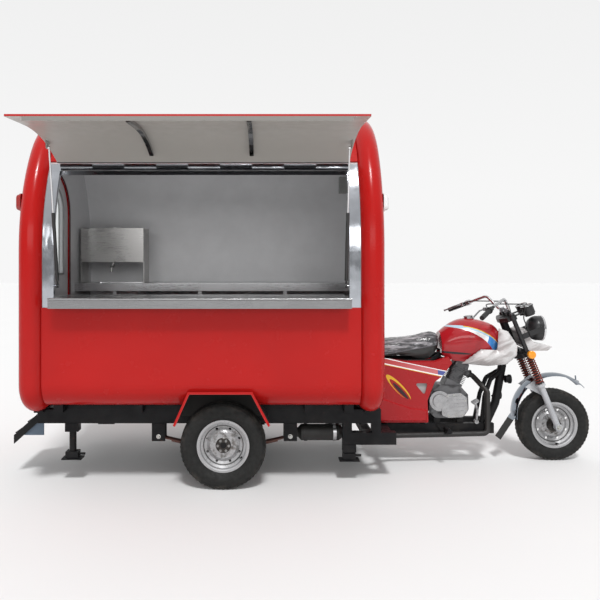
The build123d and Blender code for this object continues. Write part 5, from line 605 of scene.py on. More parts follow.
def walls(bm, rings):
    """Adds faces from each ring of corners to the next."""
    for low_ring, high_ring in zip(rings, rings[1:]):
        count = len(low_ring)
        for s in range(count):
            after = (s + 1) % count
            bm.faces.new((low_ring[s], low_ring[after], high_ring[after], high_ring[s]))


def solid(bm, rings):
    """Adds faces along rings of corners and over both ends."""
    walls(bm, rings)
    bm.faces.new(list(reversed(rings[0])))
    bm.faces.new(rings[-1])


def pipe(bm, points, radius, closed=False, sides=10):
    """Adds a round tube along points to a bmesh."""
    points = [Vector(p) for p in points]
    count = len(points)
    rings = []
    up = None
    for i, point in enumerate(points):
        before = points[i - 1] if closed or i > 0 else point
        after = points[(i + 1) % count] if closed or i < count - 1 else point
        run = (after - before).normalized()
        if up is None:
            up = run.orthogonal().normalized()
        up = (up - run * up.dot(run)).normalized()
        rings.append(circle(bm, point, up, run.cross(up), radius, sides))
    if closed:
        walls(bm, rings + rings[:1])
    else:
        solid(bm, rings)


def turned(bm, profile, place, axis, sides=24):
    """Adds a body turned about an axis: profile is (along the axis, radius)."""
    axis = Vector(axis).normalized()
    first = axis.orthogonal().normalized()
    second = axis.cross(first)
    solid(bm, [circle(bm, Vector(place) + axis * along, first, second, max(radius, 1e-5), sides)
               for along, radius in profile])


def bolt(bm, place, axis, size):
    """Adds a hexagon head on a washer with a rounded crown."""
    turned(bm, ((0, size * 1.45), (size * 0.22, size * 1.40)), place, axis, 16)
    turned(bm, ((size * 0.2, size), (size * 0.85, size), (size * 1.0, size * 0.82)), place, axis, 6)


def slab(bm, corners, thick):
    """Adds a plate from a flat ring of corners, thickened along a vector."""
    low_ring = [bm.verts.new(c) for c in corners]
    high_ring = [bm.verts.new(Vector(c) + thick) for c in corners]
    solid(bm, [low_ring, high_ring])


def half_circle(radius, steps):
    """Points (across, up) over a half circle."""
    turns = [pi * i / steps for i in range(steps + 1)]
    return [(radius * cos(t), radius * sin(t)) for t in turns]


def arch_line(width, bottom, spring, x, mid_y):
    """Points round an arched opening across the vehicle."""
    half = width / 2
    waist = (bottom + spring) / 2
    arc = [(y, spring + z) for y, z in half_circle(half, 18)]
    line = [(half, bottom), (half, waist), *arc, (-half, waist), (-half, bottom)]
    return [spot(x, mid_y + y, z) for y, z in line]


def settle(obj):
    """Applies an object's modifiers to its mesh."""
    graph = bpy.context.evaluated_depsgraph_get()
    mesh = bpy.data.meshes.new_from_object(obj.evaluated_get(graph))
    obj.modifiers.clear()
    obj.data = mesh


# Seat: a stuffed cushion in black vinyl, its top under creased film, with a piped seam
SEAM_REAR = (1.10, 0.790)
SEAM_FRONT = (1.545, 0.862)
SEAM_SLOPE = (SEAM_FRONT[1] - SEAM_REAR[1]) / (SEAM_FRONT[0] - SEAM_REAR[0])
SEAM_MARGIN = 0.004
SEAT_FACE = 0.006
SEAT_INSET = 0.004
PIPING_STEPS = 23
PIPING_FRONT = SEAM_FRONT[0] - 0.012
PIPING_PROUD = 0.001
BESIDE_SEAT = 0.4


def seam_height(x):
    """Height of the seat's seam."""
    return SEAM_REAR[1] + SEAM_SLOPE * (x - SEAM_REAR[0])


def stuff(obj, pressure, cap, held_below, steps=20):
    """Swells an object as cloth under pressure, its base held, each point by no more than cap."""
    start = [v.co.copy() for v in obj.data.vertices]
    held = obj.vertex_groups.new(name="held")
    for v in obj.data.vertices:
        if v.co.z < held_below:
            held.add([v.index], 1.0, "REPLACE")
    cloth = obj.modifiers.new("stuffing", "CLOTH")
    cloth.settings.use_pressure = True
    cloth.settings.uniform_pressure_force = pressure
    cloth.settings.vertex_group_mass = "held"
    cloth.settings.effector_weights.gravity = 0
    for step in range(1, steps + 1):
        scene.frame_set(step)
    settle(obj)
    scene.frame_set(1)
    for v, first in zip(obj.data.vertices, start):
        move = v.co - first
        if move.length > cap:
            v.co = first + move * (cap / move.length)


def seat_vinyl():
    """Black vinyl below the line of the piping; above it, silvery film whose light streaks are painted
    highlights.
    """
    m = Finish("seat_vinyl")
    below = m.under(m.minus(m.z, m.both(m.x, SEAM_SLOPE)), SEAM_REAR[1] - SEAM_SLOPE * SEAM_REAR[0])
    # Light streaks along the film: painted highlights.
    film_highlight = m.between(m.noise(26, 5, (0.3, 2.2, 1.6)), 0.44, 0.68)
    film = m.mix(film_highlight, (0.050, 0.050, 0.054), (0.36, 0.36, 0.38))
    vinyl = m.mottle(9, 3, (0.014, 0.015, 0.015), (0.030, 0.032, 0.031))
    m.set(Base_Color=m.mix(below, film, vinyl), Roughness=m.blend(below, 0.24, 0.46),
          Coat_Weight=0.3, Coat_Roughness=0.2)
    pebbles = m.node("TexVoronoi", {"Vector": m.place, "Scale": 420}).outputs["Distance"]
    return m.bump(pebbles, 0.20, 0.0008)


cushion = placed("seat_cushion", nodes["seat"].data.copy())
remesh = cushion.modifiers.new("even", "REMESH")
remesh.mode = "VOXEL"
remesh.voxel_size = SEAT_FACE
settle(cushion)
for v in cushion.data.vertices:
    v.co -= v.normal * SEAT_INSET
stuff(cushion, pressure=4.0, cap=0.010, held_below=0.785)
for v in cushion.data.vertices:
    local = v.co - ORIGIN
    crease = 1 - abs(noise.noise(Vector((local.x * 16, local.y * 34, local.z * 20))))
    ripple = 1 - abs(noise.noise(Vector((local.x * 38 + 4, local.y * 70, local.z * 40))))
    if local.z > seam_height(local.x) + SEAM_MARGIN:
        v.co += v.normal * (0.0035 * crease ** 6 + 0.0015 * ripple ** 4)
smooth = cushion.modifiers.new("round", "SUBSURF")
smooth.levels = smooth.render_levels = 1
settle(cushion)
cushion.data.shade_smooth()
dress(cushion.data, seat_vinyl())
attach(cushion, "vehicle")
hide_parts("seat")

piping = bmesh.new()
for side in (-1, 1):
    line = []
    for i in range(PIPING_STEPS + 1):
        x = SEAM_REAR[0] + (PIPING_FRONT - SEAM_REAR[0]) * i / PIPING_STEPS
        eye = spot(x, side * BESIDE_SEAT, seam_height(x))
        hit, where = cushion.ray_cast(eye, LEFT * -side)[:2]
        if hit:
            line.append(where + LEFT * (side * PIPING_PROUD))
    pipe(piping, line, radius=0.0035)
piece("seat_piping", piping, satin("piping_vinyl", (0.10, 0.10, 0.11), 0.35), "vehicle")

# Wrapped scoops beside the tank: thin film pulled over a shell, puffed in the middle and creased
SHROUD_LINE = [(1.960, 0.990), (2.030, 0.966), (2.098, 0.862), (2.092, 0.790), (2.020, 0.728),
               (1.880, 0.716), (1.690, 0.734), (1.830, 0.838), (1.950, 0.832)]
FILM_SHEET = 0.002
FOLD_DEPTH = 0.007
FOLD_TURN = radians(24)


def inside_depth(x, z, outline):
    """Distance to an outline, negative outside it, and the outline's nearest point."""
    nearest = (1e9, (x, z))
    inside = False
    for (x1, z1), (x2, z2) in zip(outline, outline[1:] + outline[:1]):
        run = Vector((x2 - x1, z2 - z1))
        t = max(0.0, min(1.0, Vector((x - x1, z - z1)).dot(run) / run.length_squared))
        foot = (x1 + run.x * t, z1 + run.y * t)
        nearest = min(nearest, (dist((x, z), foot), foot))
        if (z1 > z) != (z2 > z) and x < x1 + (x2 - x1) * (z - z1) / (z2 - z1):
            inside = not inside
    return (nearest[0] if inside else -nearest[0]), nearest[1]


def puffed(bm, outline, side, inner_y, depth, shoulder, pitch, seed):
    """Adds a closed pillow over an outline seen from the side, puffed and creased outside."""
    xs, zs = zip(*outline)
    grid = {}
    for i in range(int((max(xs) - min(xs)) / pitch) + 3):
        for j in range(int((max(zs) - min(zs)) / pitch) + 3):
            x, z = min(xs) + i * pitch, min(zs) + j * pitch
            edge, foot = inside_depth(x, z, outline)
            if edge < -0.72 * pitch:
                continue
            if edge < 0.28 * pitch:
                x, z = foot
            rise = 1 - (1 - min(1.0, max(edge, 0) / shoulder)) ** 2
            along, across = x + 0.45 * z, z - 0.45 * x
            fold = 1 - abs(noise.noise(Vector((along * 5 + seed, across * 17, seed))))
            dent = noise.noise(Vector((x * 6, z * 6, seed + 3)))
            out = depth * rise * (1 + 0.22 * dent) + FOLD_DEPTH * fold ** 4 * rise
            grid[i, j] = bm.verts.new(spot(x, side * (inner_y + FILM_SHEET + out), z))
    sheet = []
    for i, j in grid:
        corners = [grid.get(c) for c in ((i, j), (i + 1, j), (i + 1, j + 1), (i, j + 1))]
        if None not in corners:
            sheet.append(bm.faces.new(corners))
    for made in bmesh.ops.extrude_face_region(bm, geom=sheet, use_keep_orig=True)["geom"]:
        if isinstance(made, bmesh.types.BMVert):
            made.co.y = ORIGIN.y + side * inner_y
    bmesh.ops.delete(bm, geom=[v for v in bm.verts if not v.link_faces], context="VERTS")


def film_finish():
    """Milky packing film: pale, creased and a little glossy, darker along its creases with painted shade."""
    m = Finish("packing_film")
    streak = m.noise(1, 3, (6, 8, 26), 0.5, FOLD_TURN)
    # The folds' noise also darkens the colour: painted shade in the creases.
    m.set(Base_Color=m.mix(m.between(streak, 0.36, 0.62), (0.36, 0.335, 0.33), (0.63, 0.62, 0.62)),
          Roughness=m.rough(30, 3, 0.20, 0.34), Coat_Weight=0.3, Coat_Roughness=0.12)
    m.bump(streak, 0.5, 0.012)
    return m.bump(m.noise(48, 2), 0.08, 0.002)


film = film_finish()
scoops = bmesh.new()
for side in (-1, 1):
    puffed(scoops, SHROUD_LINE, side, inner_y=0.152, depth=0.026, shoulder=0.06, pitch=0.007, seed=2.0 * side)
scoop_wrap = piece("shroud_wrap", scoops, film, "vehicle", 60)
relax = scoop_wrap.modifiers.new("relax", "SMOOTH")
relax.iterations = 2
settle(scoop_wrap)
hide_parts("tank_shroud")
wear(film, "lamp_cowl")

# Springs: the leaf springs, cut into front and rear halves with even cuts across them, and the fork's coils
LEAF_EYE = 0.425
LEAF_SLICES = 24


def welded_copy(node):
    """A bmesh with the form of a CAD node, its corners joined."""
    bm = bmesh.new()
    bm.from_mesh(nodes[node].data)
    bmesh.ops.remove_doubles(bm, verts=bm.verts, dist=1e-6)
    return bm


leaf = satin("leaf_rust", (0.10, 0.036, 0.026), 0.62, 150, 0.3)
for end, side in (("front", 1), ("rear", -1)):
    half = welded_copy("leaf_springs")
    for i in range(LEAF_SLICES + 1):
        whole = half.verts[:] + half.edges[:] + half.faces[:]
        bmesh.ops.bisect_plane(half, geom=whole, plane_co=spot(side * LEAF_EYE * i / LEAF_SLICES, 0, 0),
                               plane_no=(-side, 0, 0), clear_outer=i == 0)
        if i == 0:
            bmesh.ops.holes_fill(half, edges=[e for e in half.edges if e.is_boundary])
    leaves = piece("leaf_springs_" + end, half, leaf, None)
    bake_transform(leaves)
    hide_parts("leaf_springs")

coil_form = welded_copy("fork_springs")
coil_paint = glossy("spring_paint", (0.17, 0.034, 0.024), 0.35, 0.2)
coils = piece("fork_coils", coil_form, coil_paint, None, 60)
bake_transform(coils)
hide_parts("fork_springs")

# Jack screws: one threaded screw over each leg, down to the leg's tube
SCREW_TURNS = 12
SCREW_CREST = 0.017
SCREW_ROOT = 0.0145
SCREW_HEAD = 0.008
SCREW_FOOT = -0.012
SCREW_TAIL = 0.018
FOOT_REAR = 0.067
screw_steel = cast("screw_steel", (0.24, 0.24, 0.25), 0.35)
for leg_name in LEGS:
    leg_low, leg_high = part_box("jack_leg_" + leg_name)
    tube_top = Vector((leg_low.x + FOOT_REAR, (leg_low.y + leg_high.y) / 2, leg_high.z))
    thread = [(SCREW_FOOT - SCREW_TAIL, SCREW_ROOT)]
    for k in range(2 * SCREW_TURNS, -1, -1):
        # Places that the blend's smooth weights spread evenly along the drawn screw
        share = 0.5 - sin(asin(1 - k / SCREW_TURNS) / 3)
        thread.append((SCREW_HEAD + (SCREW_FOOT - SCREW_HEAD) * share, SCREW_CREST if k % 2 else SCREW_ROOT))
    screw = bmesh.new()
    turned(screw, thread, tube_top, UP, 20)
    screw = piece("jack_screw_" + leg_name, screw, screw_steel, None, 20)
    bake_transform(screw)

# Wheel wells: a folded red flange round each opening
WELL = ((-0.296, 0.440), (-0.205, 0.644), (0.185, 0.644), (0.293, 0.440))
WELL_EDGE = 0.780
FLANGE = 0.011
FLANGE_SHEET = 0.004
flanges = bmesh.new()
outline = [Vector(p) for p in WELL]
sheet_edge = []
for i, corner in enumerate(outline):
    near = outline[max(i - 1, 0):i + 2]
    runs = [(b - a).normalized() for a, b in zip(near, near[1:])]
    square = [Vector((-r.y, r.x)) for r in runs]
    out = sum(square, Vector((0, 0))).normalized()
    sheet_edge.append(corner + out * (FLANGE / out.dot(square[0])))
for side in (-1, 1):
    for i in range(len(WELL) - 1):
        strip = (outline[i], outline[i + 1], sheet_edge[i + 1], sheet_edge[i])
        slab(flanges, [spot(p.x, side * (WELL_EDGE - FLANGE_SHEET), p.y) for p in strip],
             LEFT * (side * FLANGE_SHEET))
piece("well_flanges", flanges, body_red, "vehicle", 20)

# Screws of the clutch cover
COVER_FACE = -0.108
COVER_SCREWS = ((1.612, 0.345), (1.668, 0.346), (1.712, 0.350), (1.739, 0.396),
                (1.733, 0.455), (1.698, 0.498), (1.650, 0.496), (1.604, 0.488))
zinc = polished("zinc_screws", (0.50, 0.50, 0.48), 0.1)
cover_bolts = bmesh.new()
for x, z in COVER_SCREWS:
    bolt(cover_bolts, spot(x, COVER_FACE, z), -LEFT, 0.005)
piece("cover_bolts", cover_bolts, zinc, "vehicle")

# Tyres: moulded lugs along both shoulders, and valves
LUG_SHARE = 0.30
LUG_RISE = 0.0032
VALVE = ((0, 0.006), (0.016, 0.0045), (0.018, 0.0055), (0.030, 0.0055), (0.032, 0.003))


def shoulder_lugs(name, tyre_node, axle, radius, half, count, finish, body):
    """Makes the lugs of one tyre; half is half its width."""
    lugs = bmesh.new()
    centre = Vector((axle.x, middle(tyre_node).y, axle.z))
    for side in (-1, 1):
        for n in range(count):
            turn = tau * (n + (0.5 if side > 0 else 0)) / count
            out = Vector((cos(turn), 0, sin(turn)))
            run = Vector((-sin(turn), 0, cos(turn))) * (LUG_SHARE * tau * radius / count)
            low = centre + out * (radius - 0.0180) + LEFT * (side * (half - 0.0060))
            top = centre + out * (radius - 0.0035) + LEFT * (side * (half - 0.0215))
            face = (out * 0.012 + LEFT * (side * 0.013)).normalized() * LUG_RISE
            slab(lugs, [low - run, low + run * 0.6, top + run, top - run * 0.6], face)
    piece(name, lugs, finish, body, 20)


def valve(name, foot, axis, body):
    stem = bmesh.new()
    turned(stem, VALVE, foot, axis, 12)
    piece(name, stem, rubber, body)


for word in ("right", "left"):
    shoulder_lugs(f"rear_lugs_{word}", f"rear_tyre_{word}", REAR_AXLE, REAR_RADIUS, 0.070, 56, rear_rubber,
                  f"wheel_{word}")
shoulder_lugs("front_lugs", "front_tyre", FRONT_AXLE, FRONT_RADIUS, 0.058, 54, front_rubber, "wheel_front")
for side, word in ((-1, "right"), (1, "left")):
    valve(f"rear_valve_{word}", REAR_AXLE + Vector((0.118, side * 0.630, -0.075)), (-0.25, side, 0.15),
          f"wheel_{word}")
valve("front_valve", FRONT_AXLE + Vector((0.02, -0.030, -0.140)), (0, -1, 0.25), "wheel_front")

# Door seal and window gasket
seal = bmesh.new()
pipe(seal, arch_line(0.576, 0.666, 1.820, INNER_REAR + 0.004, DOOR_MID), 0.006)
piece("door_seal", seal, satin("seal_dark_red", (0.10, 0.012, 0.014), 0.45), "vehicle")
gasket = bmesh.new()
for face_x in (-1.2675, -1.2345):
    pipe(gasket, arch_line(0.336, 1.382, 1.840, face_x, DOOR_MID), 0.007, closed=True)
piece("window_gasket", gasket, satin("gasket_grey", grey(0.34), 0.5), "door")

# Instruments: printed dials with pointers under clear covers
DIAL_RADIUS = 0.0372
BEZEL_LIFT = 0.005
BEZEL_RADIUS = 0.0415
BEZEL_SIDES = 36
MARK_COUNT = 11
MARK_END = 0.033
MARK_FIRST = -130
MARK_STEP = 26
POINTER_TURN = -125
POINTER_TAIL = 0.006
POINTER_TIP = 0.027
COVER_PROFILE = ((0.0020, 0.0375), (0.0035, DIAL_RADIUS), (0.0048, 0.025), (0.0052, 0.0001))


def fork(ahead, y, up):
    """A point from the front axle, along and square to the fork legs."""
    return FRONT_AXLE + FORK_AHEAD * ahead + FORK_UP * up + LEFT * y


def dial_way(turn):
    """A direction on the dials' faces, turned from straight ahead."""
    return FORK_AHEAD * cos(turn) + LEFT * sin(turn)


def dial_paint():
    m = Finish("dial_face")
    m.set(Base_Color=m.mottle(30, 2, (0.012, 0.012, 0.013), (0.020, 0.020, 0.022)), Roughness=0.4)
    return m.bump(m.noise(300, 2), 0.05, 0.0004)


faces = bmesh.new()
marks = bmesh.new()
bezels = bmesh.new()
covers = bmesh.new()
for side in (-1, 1):
    centre = fork(ahead=0.142, y=side * 0.050, up=0.8925)
    turned(faces, ((0, DIAL_RADIUS), (0.0008, DIAL_RADIUS)), centre, FORK_UP, 40)
    base = centre + FORK_UP * 0.0009
    for n in range(MARK_COUNT):
        way = dial_way(radians(MARK_FIRST + MARK_STEP * n))
        wide = FORK_UP.cross(way) * (0.0009 if n % 2 else 0.0014)
        start = base + way * (0.0285 if n % 2 else 0.0255)
        end = base + way * MARK_END
        slab(marks, [start - wide, start + wide, end + wide, end - wide], FORK_UP * 0.0003)
    way = dial_way(radians(POINTER_TURN))
    wide = FORK_UP.cross(way) * 0.0012
    lift = centre + FORK_UP * 0.0016
    tail = lift - way * POINTER_TAIL
    slab(marks, [tail - wide, tail + wide, lift + way * POINTER_TIP], FORK_UP * 0.0005)
    rim = centre + FORK_UP * BEZEL_LIFT
    turns = [tau * n / BEZEL_SIDES for n in range(BEZEL_SIDES)]
    pipe(bezels, [rim + dial_way(turn) * BEZEL_RADIUS for turn in turns], 0.0022, closed=True)
    turned(covers, COVER_PROFILE, centre, FORK_UP, 32)
piece("dial_faces", faces, dial_paint(), "steering")
piece("dial_marks", marks, satin("dial_marks", (0.75, 0.75, 0.72), 0.4), "steering", 20)
piece("dial_bezels", bezels, chrome, "steering")
cover_glass = clear("dial_glass", (0.95, 0.96, 0.96), 1.2, (40, 3), 0.06)
piece("dial_covers", covers, cover_glass, "steering")

# Painted stripes of the tank and side covers: plain generic bands
CRESCENT_TOP = ((1.585, 0.992), (1.780, 0.992), (1.968, 0.888))
CRESCENT_LOW = ((1.585, 0.988), (1.770, 0.958), (1.915, 0.850))
BAND_REAR = (1.15, 0.772)
BAND_FALL = 0.21
LEAF_MIDDLE = (1.235, 0.562)
LEAF_TURN = radians(-46)
CAP_MIDDLE = (1.789, 0, 0)
CAP_BASE = 1.0478
CAP_REACH = 0.042


def circle_through(*points):
    """Centre and radius of the circle through three points, by complex numbers."""
    a, b, c = (complex(*p) for p in points)
    turn = (c - a) / (b - a)
    centre = a + (b - a) * (turn - abs(turn) ** 2) / (2j * turn.imag)
    return (centre.real, 0, centre.imag), abs(centre - a)


def tank_stripes(m, paint):
    """A white crescent with a blue heel and a yellow edge, and over all of it a near-black band of painted
    shade along a crease.
    """
    top_centre, top_radius = circle_through(*CRESCENT_TOP)
    low_centre, low_radius = circle_through(*CRESCENT_LOW)
    top = m.from_axis(top_centre, LEFT)
    low = m.from_axis(low_centre, LEFT)
    inside = m.both(m.both(m.under(top, top_radius), m.over(low, low_radius)), m.over(m.x, 1.56))
    edge = m.both(inside, m.over(top, top_radius - 0.006))
    sky = m.both(inside, m.over(top, top_radius - 0.019))
    heel = m.both(inside, m.over(m.minus(m.x, m.both(m.z, 0.35)), 1.575))
    # A thin near-black oval along the tank's crease: painted shade.
    crease_shade_x = m.ratio(m.minus(m.x, 1.655), 0.115)
    crease_shade_z = m.ratio(m.minus(m.z, m.calc("MULTIPLY_ADD", m.x, -0.05, 0.889)), 0.008)
    color = m.mix(inside, paint, m.mix(sky, WHITE, SKY))
    color = m.mix(heel, color, BLUE)
    color = m.mix(edge, color, m.mix(m.over(m.x, 1.72), SKY, YELLOW))
    return m.mix(m.under(m.hypot(crease_shade_x, crease_shade_z), 1.0), color, (0.012, 0.010, 0.014))


def cover_stripes(m, paint):
    """A pale band with white and yellow lines, and a yellow leaf with a dark heart."""
    drop = m.plus(m.minus(m.z, BAND_REAR[1]), m.both(m.minus(m.x, BAND_REAR[0]), BAND_FALL))
    length = m.both(m.over(m.x, 1.04), m.under(m.minus(m.x, m.both(m.z, 0.45)), 1.282))
    dx = m.minus(m.x, LEAF_MIDDLE[0])
    dz = m.minus(m.z, LEAF_MIDDLE[1])
    along = m.plus(m.both(dx, cos(LEAF_TURN)), m.both(dz, sin(LEAF_TURN)))
    aside = m.minus(m.both(dz, cos(LEAF_TURN)), m.both(dx, sin(LEAF_TURN)))

    def band(high, low):
        return m.both(length, m.both(m.under(drop, high), m.over(drop, low)))

    def leaf_shape(start, size, wide, shift):
        u = m.ratio(m.minus(along, start), size)
        v = m.ratio(m.minus(aside, shift), wide)
        return m.under(m.hypot(u, v), 1.0)

    pale_band = m.mix(m.between(m.x, 1.1, 1.5), (0.46, 0.05, 0.05), (0.55, 0.16, 0.17))
    navy_end = m.both(band(-0.006, -0.038), m.over(m.x, 1.52))
    layers = ((band(-0.004, -0.044), pale_band), (band(0.000, -0.006), WHITE), (band(-0.038, -0.046), WHITE),
              (band(-0.046, -0.050), YELLOW), (navy_end, (0.08, 0.10, 0.30)),
              (leaf_shape(0.0, 0.125, 0.030, 0.0), YELLOW), (leaf_shape(0.022, 0.108, 0.022, -0.004), paint),
              (leaf_shape(0.030, 0.080, 0.013, -0.006), (0.035, 0.016, 0.020)))
    color = paint
    for mask, layer in layers:
        color = m.mix(mask, color, layer)
    return color


def tank_paint():
    """Striped gloss paint with a bright filler cap."""
    m = glossy("tank_red", (0.36, 0.012, 0.018), 0.2, 0.8, tank_stripes)
    cap = m.both(m.over(m.z, CAP_BASE), m.under(m.from_axis(CAP_MIDDLE, UP), CAP_REACH))
    return m.cover(cap, (0.30, 0.30, 0.31), (0.42, 0.42, 0.43), 0.22, 1.0)


wear(tank_paint(), "fuel_tank")
wear(glossy("cover_red", (0.35, 0.010, 0.013), 0.24, 0.3, cover_stripes), "side_covers")

# Vent plates behind the side covers' triangles
VENT = ((1.338, 0.604), (1.460, 0.604), (1.430, 0.494))
VENT_FACE = 0.136
VENT_SHEET = 0.004
vents = bmesh.new()
for side in (-1, 1):
    slab(vents, [spot(x, side * VENT_FACE, z) for x, z in VENT], LEFT * (side * VENT_SHEET))
piece("vent_plates", vents, satin("vent_grey", (0.34, 0.33, 0.33), 0.5), "vehicle", 20)

# Pieces of more than one colour
GRIP_START = 0.268
LENS_START = 0.1338
LAMP = fork(0.155, 0, 0.707)
LAMP_X = LAMP.x - ORIGIN.x
LAMP_LENS_BASE = LAMP_X + 0.0425
LAMP_RIM_BASE = LAMP_X + 0.0335
LAMP_RADIUS = 0.0869


def bar_finish():
    """Chrome bar with ribbed black grips."""
    m = Finish("bar_two_tone")
    grip = m.over(m.size(m.y), GRIP_START)
    bright = m.mottle(20, 3, (0.50, 0.50, 0.51), (0.72, 0.72, 0.73))
    dark = m.mottle(40, 3, grey(0.012), (0.026, 0.026, 0.027))
    m.set(Base_Color=m.mix(grip, bright, dark), Metallic=m.blend(grip, 1.0, 0.0),
          Roughness=m.blend(grip, 0.16, 0.55))
    return m.bump(m.both(grip, m.wave(m.y, 1400)), 0.3)


def indicator_finish():
    """Black stalks with ribbed amber lenses."""
    m = Finish("indicator_lens")
    lens = m.over(m.size(m.y), LENS_START)
    amber = m.mottle(60, 2, (0.80, 0.26, 0.004), (0.90, 0.36, 0.01))
    m.set(Base_Color=m.mix(lens, grey(0.014), amber), Roughness=m.blend(lens, 0.5, 0.14),
          Coat_Weight=0.5, Coat_Roughness=0.05)
    return m.bump(m.both(lens, m.wave(m.z, 1300)), 0.2)


def headlamp_finish():
    """Black shell, chrome rim and ribbed lens."""
    m = Finish("lamp_shell_and_lens")
    away = m.from_axis((0, 0, LAMP.z), AHEAD)
    lens = m.both(m.over(m.x, LAMP_LENS_BASE), m.under(away, LAMP_RADIUS))
    rim = m.both(m.over(m.x, LAMP_RIM_BASE), m.over(away, LAMP_RADIUS))
    shell = m.mottle(12, 3, (0.010, 0.010, 0.011), (0.026, 0.026, 0.028))
    m.set(Base_Color=m.mix(rim, m.mix(lens, shell, (0.72, 0.74, 0.76)), CHROME),
          Metallic=m.either(rim, m.both(lens, 0.35)), Roughness=m.blend(m.either(lens, rim), 0.32, 0.10))
    return m.bump(m.both(lens, m.wave(m.y, 620)), 0.4, 0.002)


wear(bar_finish(), "handlebar")
wear(indicator_finish(), "indicators")
wear(headlamp_finish(), "headlamp")

# Bolts of the spring eyes and of the left engine cover
SPRING_LINE = 0.470
EYE_AHEAD = 0.44
EYE_Z = 0.303
EYE_FACE = 0.034
COVER_LEFT = (1.580, 0.1098, 0.440)
COVER_LEFT_RING = 0.083
COVER_LEFT_BOLTS = 6
heads = bmesh.new()
for side in (-1, 1):
    for eye in (-EYE_AHEAD, EYE_AHEAD):
        for face in (-1, 1):
            bolt(heads, spot(eye, side * SPRING_LINE + face * EYE_FACE, EYE_Z), LEFT * face, 0.011)
for n in range(COVER_LEFT_BOLTS):
    turn = tau * (n + 0.25) / COVER_LEFT_BOLTS
    place = spot(*COVER_LEFT) + Vector((cos(turn), 0, sin(turn))) * COVER_LEFT_RING
    bolt(heads, place, LEFT, 0.0055)
piece("frame_bolts", heads, zinc, "vehicle")

# Straps that hold the axle to its springs
STRAP_AHEAD = 0.045
STRAP_HALF = 0.0425
STRAP_FOOT = 0.204
STRAP_BEND = 0.278
PLATE_LOW = 0.200
PLATE_THICK = 0.008
PLATE = ((-0.065, -0.056), (0.065, -0.056), (0.065, 0.056), (-0.065, 0.056))
straps = bmesh.new()
for side in (-1, 1):
    mid = side * SPRING_LINE
    for x in (-STRAP_AHEAD, STRAP_AHEAD):
        bend = [spot(x, mid - y, STRAP_BEND + z) for y, z in half_circle(STRAP_HALF, 10)]
        ends = [spot(x, mid + leg * STRAP_HALF, STRAP_FOOT) for leg in (-1, 1)]
        pipe(straps, [ends[0], *bend, ends[1]], 0.006)
        for leg in (-1, 1):
            bolt(straps, spot(x, mid + leg * STRAP_HALF, PLATE_LOW), -UP, 0.010)
    slab(straps, [spot(x, mid + y, PLATE_LOW) for x, y in PLATE], UP * PLATE_THICK)
piece("axle_straps", straps, black, "axle")

# Clamps of the handlebar and nuts of the front axle
FORK_HALF = 0.100
FORK_TOP = 0.890
CLAMP_SIDE = 0.042
CLAMP_PROFILE = ((-0.014, 0.0185), (-0.012, 0.0205), (0.012, 0.0205), (0.014, 0.0185))
AXLE_END = 0.1245
clamps = bmesh.new()
for side in (-1, 1):
    bolt(clamps, fork(0, side * FORK_HALF, FORK_TOP), FORK_UP, 0.011)
    turned(clamps, CLAMP_PROFILE, fork(-0.004, side * CLAMP_SIDE, 0.913), LEFT, 20)
    for ahead in (-0.017, 0.009):
        bolt(clamps, fork(ahead, side * CLAMP_SIDE, 0.931), FORK_UP, 0.0045)
piece("bar_clamps", clamps, cast("clamp_alloy", (0.20, 0.20, 0.21)), "steering")
axle_nuts = bmesh.new()
for side in (-1, 1):
    bolt(axle_nuts, fork(0, side * AXLE_END, 0), LEFT * side, 0.013)
piece("front_axle_nuts", axle_nuts, zinc, "fork_lower")

# Screws along the hatch's hinge
SCREW_COUNT = 28
SCREW_SPAN = 1.86
SCREW_PROUD = 0.040
SCREW_PROFILE = ((0, 0.0042), (0.0012, 0.0040), (0.0022, 0.0024))
screw_angle = HINGE_ANGLE + radians(1.3)
screw_out = Vector((0, -cos(screw_angle), sin(screw_angle)))
hinge_screws = bmesh.new()
for n in range(SCREW_COUNT):
    x = KIOSK_MID + SCREW_SPAN * (n / (SCREW_COUNT - 1) - 0.5)
    foot = spot(x, ARC_REACH, SPRING_Z) + screw_out * (SIDE_RADIUS + SCREW_PROUD)
    turned(hinge_screws, SCREW_PROFILE, foot, screw_out, 12)
piece("hinge_screws", hinge_screws, zinc, "vehicle")

# Drain of the sink
SINK = spot(-0.930, 0.465, 1.158)
drain = bmesh.new()
turned(drain, ((0, 0.034), (0.003, 0.033), (0.003, 0.024), (0.001, 0.022)), SINK, UP, 28)
piece("sink_drain", drain, zinc, "vehicle")

# Floor
bpy.ops.mesh.primitive_plane_add(size=80)
floor = bpy.context.object
floor.name = "studio_floor"
pale = Finish("studio_floor")
pale.set(Base_Color=pale.mottle(0.7, 2, grey(0.73), grey(0.75)), Roughness=0.9)
floor.data.materials.append(pale.material)

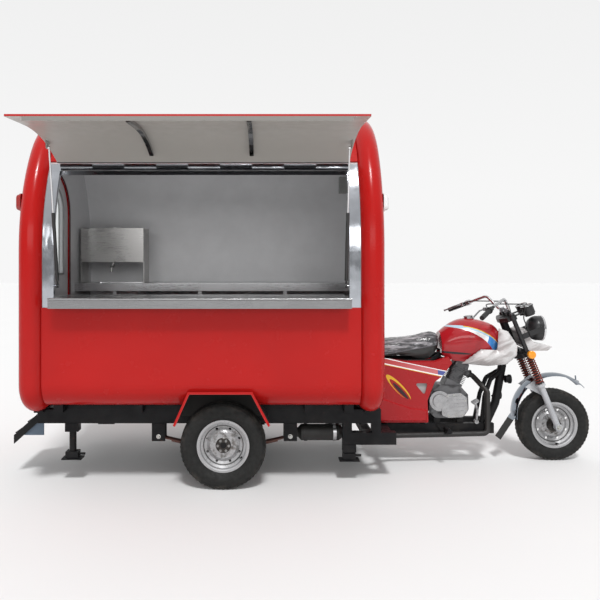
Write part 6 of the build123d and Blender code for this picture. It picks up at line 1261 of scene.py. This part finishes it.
# Sky: bright behind the vehicle, greyer on the photographer's side
SKY_TURN = ((0.40, 0.0), (0.62, 1.0))
NEAR_SKY = ((0.0, 0.34), (0.16, 0.36), (0.42, 0.58), (0.9, 0.75))
FAR_SKY = ((0.0, 0.93), (0.10, 0.93), (0.75, 0.80))
scene.world = bpy.data.worlds.new("studio")
scene.world.use_nodes = True
air = Tree(scene.world.node_tree)
air.nodes.clear()


def ramp(socket, stops):
    """Grey levels along a value from 0 to 1."""
    node = air.node("ValToRGB", {0: socket})
    elements = node.color_ramp.elements
    while len(elements) < len(stops):
        elements.new(0.5)
    for element, (place, level) in zip(elements, stops):
        element.position = place
        element.color = (*grey(level), 1)
    return node.outputs[0]


way = air.apart(air.node("TexCoord", {}).outputs["Generated"])
far = ramp(air.calc("MULTIPLY_ADD", way["Y"], 0.5, 0.5), SKY_TURN)
level = air.mix(far, ramp(way["Z"], NEAR_SKY), ramp(way["Z"], FAR_SKY))
sky = air.node("Background", {"Color": level, "Strength": 1.0})
air.node("OutputWorld", {0: sky.outputs[0]})


# Lights
def lamp(name, kind, place, target, power):
    light = bpy.data.lights.new(name, kind)
    light.energy = power
    holder = placed(name, light)
    holder.location = place
    holder.rotation_euler = (target - place).to_track_quat("-Z", "Y").to_euler()
    return light


key = lamp("key_light", "SUN", spot(0.9, -6.0, 9.6), spot(0.4, -0.7, 1.2), 2.1)
key.angle = radians(9)
front_fill = lamp("front_fill", "AREA", spot(0.2, -10.0, 3.6), spot(0.2, 0, 1.2), 190)
front_fill.shape = "RECTANGLE"
front_fill.size = 9.0
front_fill.size_y = 2.4

# Camera, as the photo was taken; the vanishing point is in the photo's pixels
PHOTO_SIZE = 600
FOCAL_PIXELS = 636
SENSOR = 36
VANISH = (264, 262)
view = bpy.data.cameras.new("photo_camera")
view.sensor_width = SENSOR
view.lens = FOCAL_PIXELS / PHOTO_SIZE * SENSOR
view.shift_x = 0.5 - VANISH[0] / PHOTO_SIZE
view.shift_y = VANISH[1] / PHOTO_SIZE - 0.5
camera = placed("photo_camera", view)
camera.location = spot(0.264, -4.75, 1.468)
camera.rotation_euler = (pi / 2, 0, 0)
scene.camera = camera
scene.view_settings.view_transform = "Standard"
